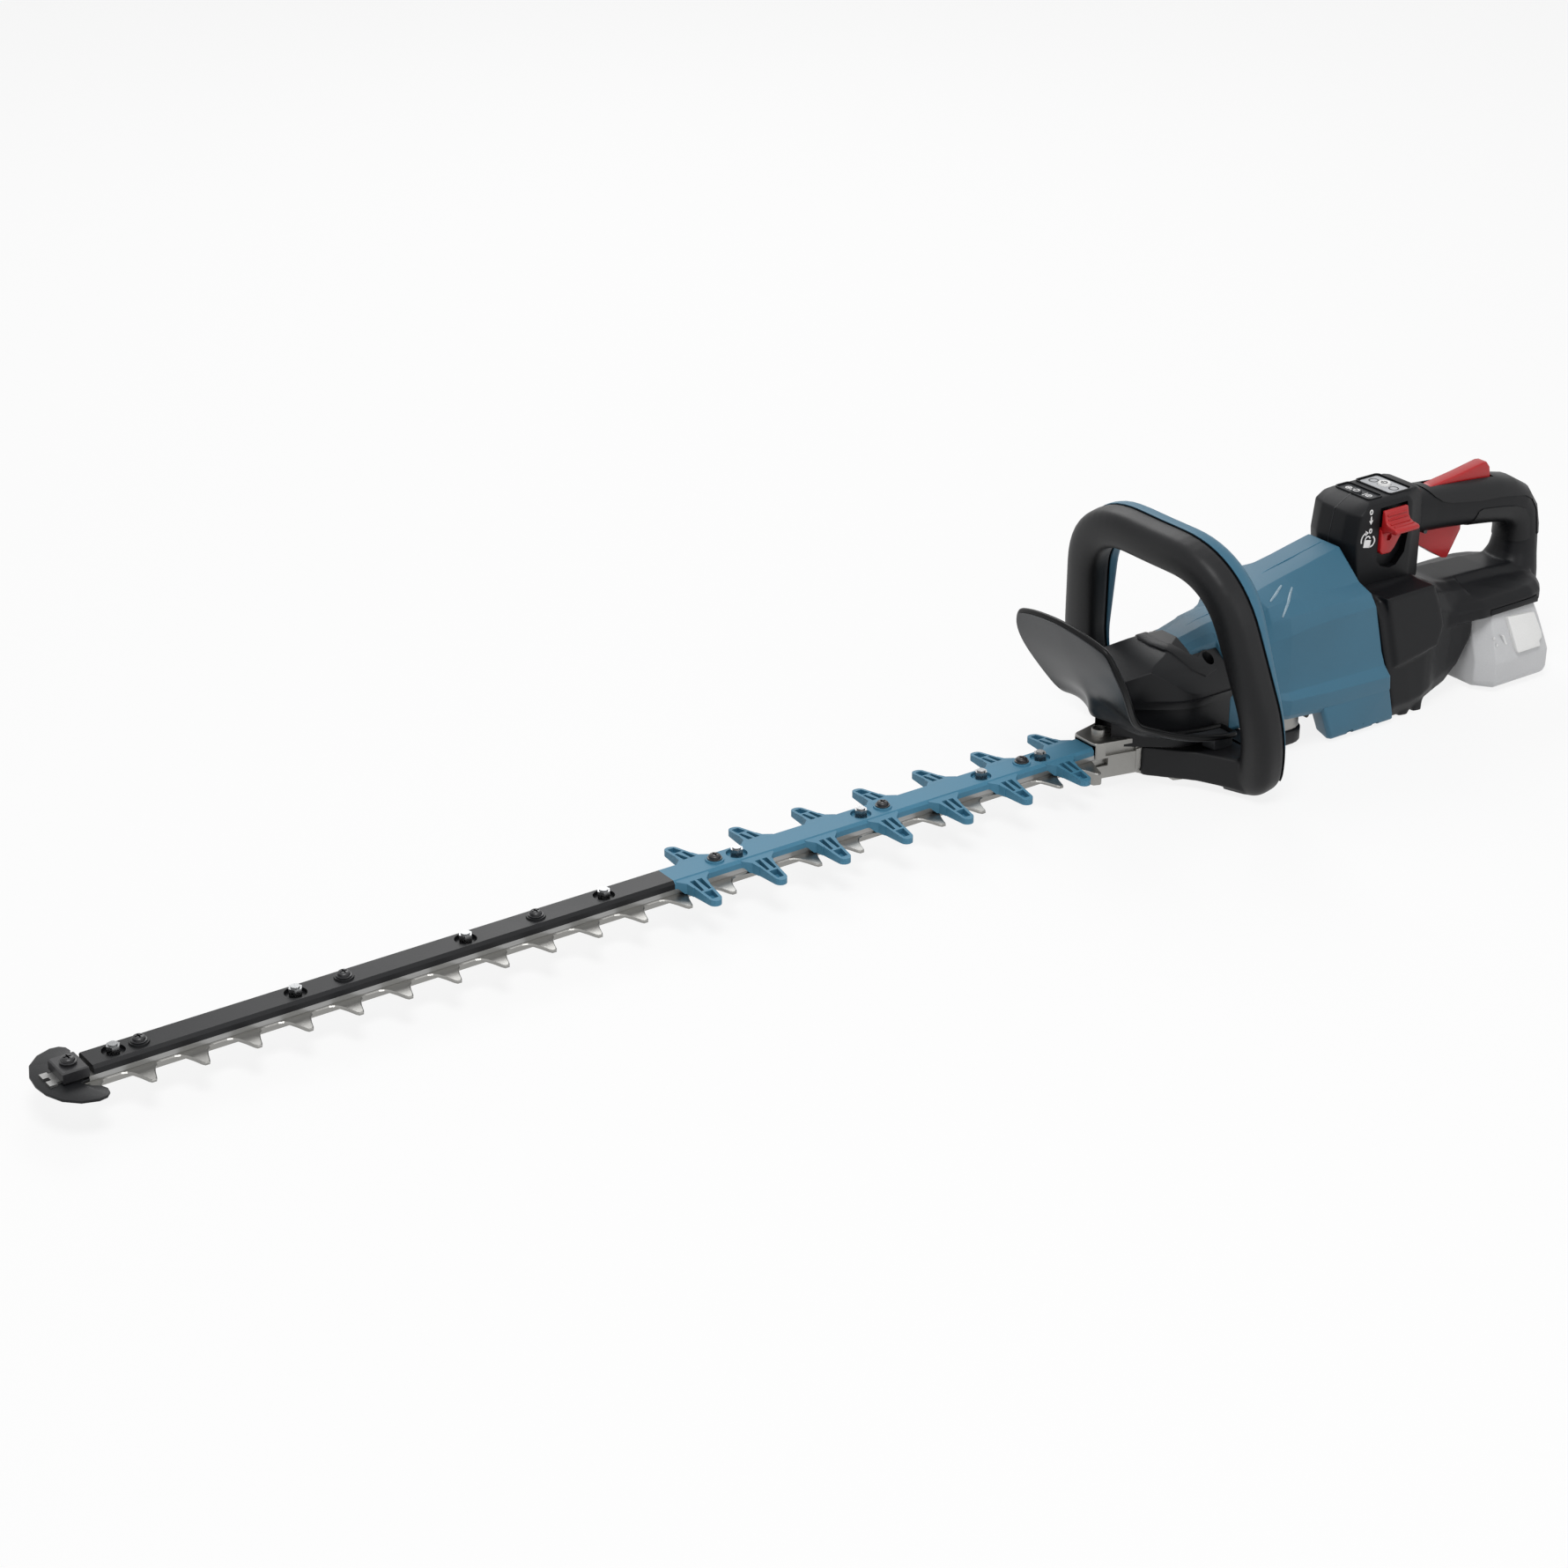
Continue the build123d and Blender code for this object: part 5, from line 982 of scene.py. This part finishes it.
def lock_marks():
    """Printed marks beside the swivel lock: locked, arrow, unlocked and a padlock with its turn arrow."""
    bm = bmesh.new()
    face = -25.16
    flat_ring(bm, (143.4, face, 164.4), 1.7, 0.75, 0.3, "Y", 1.25)
    slab(bm, oblong(143.2, 144.4, 161.0, 157.6), face, face + 0.3)
    slab(bm, [(141.8, 157.8), (145.8, 157.8), (143.8, 154.4)], face, face + 0.3)
    flat_ring(bm, (144.0, face, 149.6), 1.6, 0.7, 0.3, "Y", 1.25)
    slab(bm, [(138.4, 143.6), (145.2, 142.2), (144.0, 136.4), (137.6, 137.8)], face, face + 0.3)
    flat_ring(bm, (141.6, face, 143.4), 2.9, 1.9, 0.3, "Y", 1.0, 5, 190)
    flat_ring(bm, (144.8, face, 141.2), 4.6, 3.5, 0.3, "Y", 1.0, -110, 60)
    flat_ring(bm, (140.6, face, 143.4), 6.0, 5.0, 0.3, "Y", 1.0, 95, 200)
    slab(bm, [(139.0, 150.8), (139.0, 146.6), (142.2, 148.6)], face, face + 0.3)
    make("rear_housing.lock_marks", bm, print_white, (), "rear_handle", angle=30.0)


def thumb_lever():
    """Red swivel lock: upright tab that curls out into a shelf, and a tapered tongue below."""
    side = [(-25.4, 163.6), (-28.2, 163.6), (-29.0, 160.5), (-29.6, 157.2), (-31.4, 154.6), (-34.6, 153.1),
            (-40.2, 152.6), (-41.6, 151.4), (-41.4, 149.2), (-39.6, 148.3), (-33.6, 148.0), (-29.8, 147.0),
            (-28.0, 145.2), (-25.4, 145.2)]
    bm = bmesh.new()
    slab(bm, side, 154.2, 178.4, "X")
    round_edges(bm, 1.1, 3, 40.0)
    for y, z in ((-29.15, 159.9), (-30.0, 156.6), (-32.9, 153.9), (-36.8, 152.95)):
        rod(bm, (156.6, y, z), (176.0, y, z), 0.75, 16)
    make("swivel_lock.thumb", bm, signal_red, ("swivel_lock_lever",), angle=40.0)
    tongue = solid([(153.8, 148), (154.0, 131.0), (156.0, 128.6), (164.5, 128.6), (168.0, 131.6), (174.6, 141.6),
                    (176.5, 148)], -27.2, -19.6)
    round_edges(tongue, 0.9, 3, 30.0)
    dent = [(159.6, 139.2), (159.6, 143.6), (163.6, 144.2), (164.4, 141.2), (162.6, 138.8)]
    tongue = carved(tongue, solid(dent, -30, -24.6))
    make("swivel_lock.tongue", tongue, signal_red, (), "swivel_lock", angle=30.0)


def lock_wedge():
    """Red lock-off wedge on top of the grip."""
    bm = bmesh.new()
    profile = [(224.0, 159.6), (228.0, 161.0), (254.0, 164.4), (280.0, 168.6), (283.6, 168.2), (287.4, 163.6),
               (288.8, 156.0), (288.6, 152.8), (226.5, 152.4)]
    loft(bm, [ring(bm, [(x, y, z) for x, z in profile]) for y in (5.3, -5.3)])
    faced(bm)
    round_edges(bm, 1.3, 3, 50.0)
    make("lock_off.wedge", bm, signal_red, ("lock_off_lever",), angle=30.0)


# ---------------------------------------------------------------- gear case and battery
def gear_cases():
    """Both halves of the gear case with softened edges; their nose is a piece of its own."""
    for node in ("gear_case_upper", "gear_case_lower"):
        bm = carved(cad_copy(node), centred(-125, -70.4, 45, -5.0, 70.0))
        round_edges(bm, 0.8, 2, 30.0)
        make(node + ".cast", bm, cast_alloy, (node,), angle=30.0)


FIRST_TOOTH, TOOTH_PITCH, TEETH = -883.0, 35.0, 23
BLADE_BAND = 11.2       # half width of the band that carries the teeth
TOOTH_FLANK = ((17.5, 11.6), (13.0, 11.8), (9.8, 13.0), (7.2, 16.0), (5.0, 21.0), (2.8, 27.6), (1.5, 29.8))
LAST_REACH = 8.5        # the last tooth ends this far behind its middle, clear of the nose


def tooth_comb(side, reach, low, high, keen):
    """Teeth of one side of a blade with a spine inside the band; the edges at the keen level are ground off."""
    root = BLADE_BAND - 0.4
    outline = [(FIRST_TOOTH - 13.0, root)]
    for i in range(TEETH):
        middle = FIRST_TOOTH + TOOTH_PITCH * i
        falling = TOOTH_FLANK[::-1] if i < TEETH - 1 else (*TOOTH_FLANK[:2:-1], (LAST_REACH, BLADE_BAND))
        outline += [(middle - dx, y) for dx, y in TOOTH_FLANK[1:]] + [(middle + dx, y) for dx, y in falling]
    outline.append((FIRST_TOOTH + TOOTH_PITCH * (TEETH - 1) + LAST_REACH, root))
    comb = solid([(x, side * (y if y < BLADE_BAND else BLADE_BAND + (y - BLADE_BAND) * reach)) for x, y in outline],
                 low, high, "Z")
    edges = [e for e in comb.edges if all(abs(v.co.z - keen) < 0.01 and abs(v.co.y) > 11.3 for v in e.verts)]
    bmesh.ops.bevel(comb, geom=edges, offset=1.1, offset_type="OFFSET", segments=1, profile=0.5,
                    affect="EDGES", clamp_overlap=True, material=-1)
    return comb


def ground_blades():
    """Both blades: the band as it is, with slender flat-tipped teeth ground to an edge between deep round gullets."""
    for node, low, high, keen in (("upper_blade", 22.1, 24.0, 24.0), ("lower_blade", 20.3, 22.0, 20.3)):
        trims = [solid(oblong(-930, -40, side * BLADE_BAND, side * 40), 10.0, 40.0, "Z") for side in (1, -1)]
        band = carved(cad_copy(node), *trims)
        combs = [tooth_comb(side, reach, low, high, keen) for side, reach in ((1, 0.8), (-1, 1.0))]
        make(node + ".ground", combined("UNION", band, *combs), blade_steel, (node,), angle=12.0)


def pan_heads(node, middles, foot, size):
    """Pan-head screws with a flange and a sunk cross."""
    bm = bmesh.new()
    levels = ((-2.0, 4.6), (0.0, 5.1), (0.5, 5.2), (0.9, 5.0), (1.0, 4.2), (2.3, 4.0), (2.9, 3.4), (3.2, 2.4),
              (3.25, 0.4))
    long, wide = 2.5 * size, 0.6 * size
    cross = [(wide, wide), (long, wide), (long, -wide), (wide, -wide), (wide, -long), (-wide, -long), (-wide, -wide),
             (-long, -wide), (-long, wide), (-wide, wide), (-wide, long), (wide, long)]
    for x in middles:
        one = turned(x, [(foot + rise * size, r * size) for rise, r in levels])
        faced(one)
        joined(bm, carved(one, solid([(x + dx, dy) for dx, dy in cross], foot + 1.6 * size, foot + 6.0, "Z")))
    make(node + ".heads", bm, black_steel, (node,), angle=35.0)


def tip_crescent():
    """Thin black crescent under the end of the bar, scooped behind both horns."""
    half = [(-911.0, 0), (-909.6, 12), (-904.6, 24), (-896, 32.4), (-886, 36.0), (-880.4, 35.0), (-877.2, 31.6),
            (-876.4, 27.0), (-878.2, 22.6), (-884.0, 18.0), (-887.0, 12.0), (-882.0, 11.0), (-875.4, 10.8),
            (-875.4, 0)]
    bm = solid(whole(half), 24.75, 26.7, "Z")
    round_edges(bm, 0.5, 2, 50.0)
    make("tip_guard.crescent", bm, black_cover, ("tip_guard",), angle=40.0)


NOSE_BOLT_X = -89.8


def nose_block():
    """Cast nose that grips the guide bar: flared cheeks with a sunk panel, a lip below and a bolt boss on top."""
    plan = whole([(-103.4, 8.6), (-102.6, 11.4), (-100.0, 13.0), (-95.5, 13.8), (-70.0, 19.6), (-62.0, 20.2)])
    bm = solid(plan, 9.0, 37.4, "Z")
    round_edges(bm, 1.0, 3, 40.0)
    lip = solid(whole([(-103.4, 8.6), (-102.6, 11.4), (-97.5, 13.4), (-95.4, 12.0)]), 4.0, 20.0, "Z")
    round_edges(lip, 0.8, 2, 40.0)
    boss = post(NOSE_BOLT_X, 0, 30.0, 42.8, 5.4, 48)
    round_edges(boss, 0.5, 2, 40.0)
    web = solid(whole([(-88.0, 2.6), (-62.0, 7.0)]), 30.0, 40.6, "Z")
    round_edges(web, 0.8, 2, 40.0)
    bm = combined("UNION", bm, lip, boss, web)
    cuts = [solid([(-94.5, side * 11.6), (-63.0, side * 18.4), (-63.0, side * 30), (-94.5, side * 30)],
                  26.6, 33.4, "Z") for side in (1, -1)]
    mouth = centred(-120, -58, 11.5, 19.0, 35.5)
    slot = centred(-120, -92.5, 32, 19.0, 24.9)
    bore = post(NOSE_BOLT_X, 0, 39.4, 50.0, 3.7)
    bm = carved(bm, mouth, slot, bore, *cuts)
    make("gear_case.nose", bm, cast_alloy, (), "tool_body", angle=35.0)
    head = post(NOSE_BOLT_X, 0, 36.0, 41.6, 3.2)
    round_edges(head, 0.4, 2, 40.0)
    socket = post(NOSE_BOLT_X, 0, 39.0, 46.0, 1.6, 6)
    make("nose_bolt.head", carved(head, socket), black_steel, ("nose_bolt",), angle=35.0)


def battery_case():
    """Pale battery: chamfered corners, sides leaning in above the waist, rails, gauge marks and a release key."""
    bm = bmesh.new()
    rings = []
    for z, side, back in ((61.4, 14.5, 9.0), (58.0, 12.2, 6.6), (44.0, 7.2, 3.2), (27.0, 0.9, 0.6), (24.0, 0.0, 0.0),
                          (9.0, 0.0, 0.2), (5.0, 1.4, 1.4), (3.0, 4.2, 4.2)):
        y = 56.5 - side
        front, rear, cut = 249.0 + back * 0.5, 324.0 - back, 13.0
        rings.append(ring(bm, mirrored([(front, 0, z), (front, y - cut, z), (front + cut * 0.8, y, z),
                                        (rear - cut * 0.7, y, z), (rear, y - cut * 0.8, z), (rear, 0, z)])))
    loft(bm, rings)
    faced(bm)
    round_edges(bm, 2.6, 3, 16.0)
    rail = [(261.8, 56), (307.2, 56), (307.2, 62.7), (310.2, 62.7), (310.2, 65.9), (258.8, 65.9), (258.8, 62.7),
            (261.8, 62.7)]
    slab(bm, rail, -41.0, 41.0)
    make("battery.case", bm, battery_shell, ("battery_top", "battery_tray"), angle=40.0)
    end = solid(oblong(258.9, 310.1, 61.0, 65.8), -46.6, -41.2)
    round_edges(end, 0.6, 2, 40.0)
    make("battery.rail_end", end, black_shell, (), node_body["battery_top"], angle=40.0)
    gauge = bmesh.new()
    for x, z in ((260.6, 43.5), (262.4, 38.0)):
        flat_ring(gauge, (x, -51.4 - (41.0 - z) * 0.36, z), 1.1, 0.2, 0.5, "Y")
    slab(gauge, [(267.0, 45.0), (268.6, 45.0), (273.4, 36.6), (271.6, 36.2)], -52.6, -50.4)
    make("battery.gauge", gauge, print_white, (), node_body["battery_top"], angle=40.0)
    key_piece = bmesh.new()
    faces = []
    for stand in (-1.5, 2.6):
        corners = []
        for x, z in ((276.2, 56.2), (304.6, 54.2), (308.6, 38.0), (308.2, 34.4), (305.0, 32.6), (305.0, 28.6),
                     (280.8, 28.6), (279.6, 33.0)):
            y = 56.5 - 12.6 * max(0.0, z - 26.5) / 34.0
            corners.append((x, -y - stand, z + stand * 0.25))
        faces.append(ring(key_piece, corners))
    loft(key_piece, faces)
    faced(key_piece)
    round_edges(key_piece, 0.8, 3, 30.0)
    make("battery.key", key_piece, white_key, ("battery_button",), angle=35.0)


def slim_cells():
    """Battery cells at 0.7 of their CAD width."""
    cells = cad_copy("battery_cells")
    bmesh.ops.scale(cells, vec=(1.0, 0.7, 1.0), verts=cells.verts)
    make("battery.cells", cells, cell_wrap, ("battery_cells",), angle=30.0)


def housing_screws():
    """Screws of the rear housing, less whatever lies in the rear of the D."""
    screws = carved(cad_copy("rear_housing_screws"), solid(oblong(290, 340, 80, 160), -60, 60))
    make("rear_housing.screws", screws, zinc_steel, ("rear_housing_screws",), angle=30.0)


def trigger_lever():
    """Red trigger under the grip with softened edges."""
    trigger = cad_copy("trigger")
    round_edges(trigger, 1.0, 2, 30.0)
    make("trigger.formed", trigger, signal_red, ("trigger",))


COVER_SCREW_X = (-843.0, -703.6, -563.6, -423.9, -284.0, -160.9)

grip_loop()
teal_loop()
guard_shield()
gear_hood()
motor_shell()
rear_body()
soft_pads()
control_block()
key_panel()
key("power_button", "power_key", POWER_X, 0.8, panel_film, print_white)
key("reverse_button", "reverse_key", REVERSE_X, 1.0, white_key, panel_film)
lock_marks()
thumb_lever()
lock_wedge()
gear_cases()
ground_blades()
tip_crescent()
pan_heads("cover_screws", COVER_SCREW_X, 35.2, 1.0)
pan_heads("tip_screw", (-889.0,), 36.0, 1.05)
nose_block()
slim_cells()
housing_screws()
battery_case()
trigger_lever()


# ---------------------------------------------------------------- floor, light and camera
FLOOR_WHITE = 0.85      # share of the floor that shows as plain white
WORLD_LIGHT = 0.34


def seen_directly(tree):
    """Node that says 1 for camera, mirror and glass rays, 0 for the rays that carry light between surfaces."""
    path = tree.nodes.new("ShaderNodeLightPath")
    total = path.outputs["Is Camera Ray"]
    for name in ("Is Glossy Ray", "Is Transmission Ray"):
        both = tree.nodes.new("ShaderNodeMath")
        both.operation = "MAXIMUM"
        tree.links.new(total, both.inputs[0])
        tree.links.new(path.outputs[name], both.inputs[1])
        total = both.outputs[0]
    return both


def mixed(tree, output, share, first, second):
    """Feed an output node with a mix of two shader nodes, by the value of a third node."""
    mix = tree.nodes.new("ShaderNodeMixShader")
    for socket, source in zip(mix.inputs, (share, first, second)):
        tree.links.new(source.outputs[0], socket)
    tree.links.new(mix.outputs[0], tree.nodes[output].inputs["Surface"])


def pale_floor():
    """Pale floor that keeps the shadow and lights nothing by itself."""
    bm = bmesh.new()
    bmesh.ops.create_grid(bm, x_segments=1, y_segments=1, size=30.0)
    floor = placed("floor", as_mesh("floor", bm))
    floor.location.z = -0.0005
    cover = Finish("pale floor", (0.86, 0.86, 0.86), 0.7)
    tree = cover.tree
    white = tree.nodes.new("ShaderNodeEmission")
    white.inputs["Color"].default_value = (1, 1, 1, 1)
    share = tree.nodes.new("ShaderNodeMath")
    share.operation = "MULTIPLY"
    share.inputs[1].default_value = FLOOR_WHITE
    tree.links.new(seen_directly(tree).outputs[0], share.inputs[0])
    mixed(tree, "Material Output", share, cover.shader, white)
    floor.data.materials.append(cover.material)


def lamp(name, place, aim, size, power, colour=(1.0, 1.0, 1.0)):
    data = bpy.data.lights.new(name, "AREA")
    data.shape, data.size, data.energy, data.color = "DISK", size, power, colour
    light = placed(name, data)
    light.location = place
    light.rotation_euler = (Vector(aim) - Vector(place)).to_track_quat("-Z", "Y").to_euler()


def studio():
    """Even daylight from the world, one large key lamp, one low fill and one rear lamp."""
    world = bpy.data.worlds.new("studio")
    world.use_nodes = True
    tree = world.node_tree
    soft = tree.nodes["Background"]
    soft.inputs["Color"].default_value = (1.0, 1.0, 1.0, 1.0)
    soft.inputs["Strength"].default_value = WORLD_LIGHT
    backdrop = tree.nodes.new("ShaderNodeBackground")
    backdrop.inputs["Color"].default_value = (1.0, 1.0, 1.0, 1.0)
    mixed(tree, "World Output", seen_directly(tree), soft, backdrop)
    bpy.context.scene.world = world
    lamp("key", (-1.0, -0.9, 2.6), (-0.1, 0.0, 0.1), 1.2, 42.0)
    lamp("fill", (0.6, -2.4, 1.0), (0.0, 0.0, 0.1), 1.6, 9.0)
    lamp("rear", (0.7, 1.8, 1.7), (-0.2, 0.0, 0.1), 1.2, 16.0)


def view_camera():
    data = bpy.data.cameras.new("camera")
    data.lens, data.sensor_width = 76.02, 36.0
    data.clip_end = 60.0
    camera = placed("camera", data)
    camera.location = (-1.5217, -1.6404, 1.0420)
    aim = Vector((-0.3672, 0.0, 0.0746))
    camera.rotation_euler = (aim - camera.location).to_track_quat("-Z", "Y").to_euler()
    bpy.context.scene.camera = camera


pale_floor()
studio()
view_camera()
bpy.context.scene.view_settings.view_transform = "Standard"
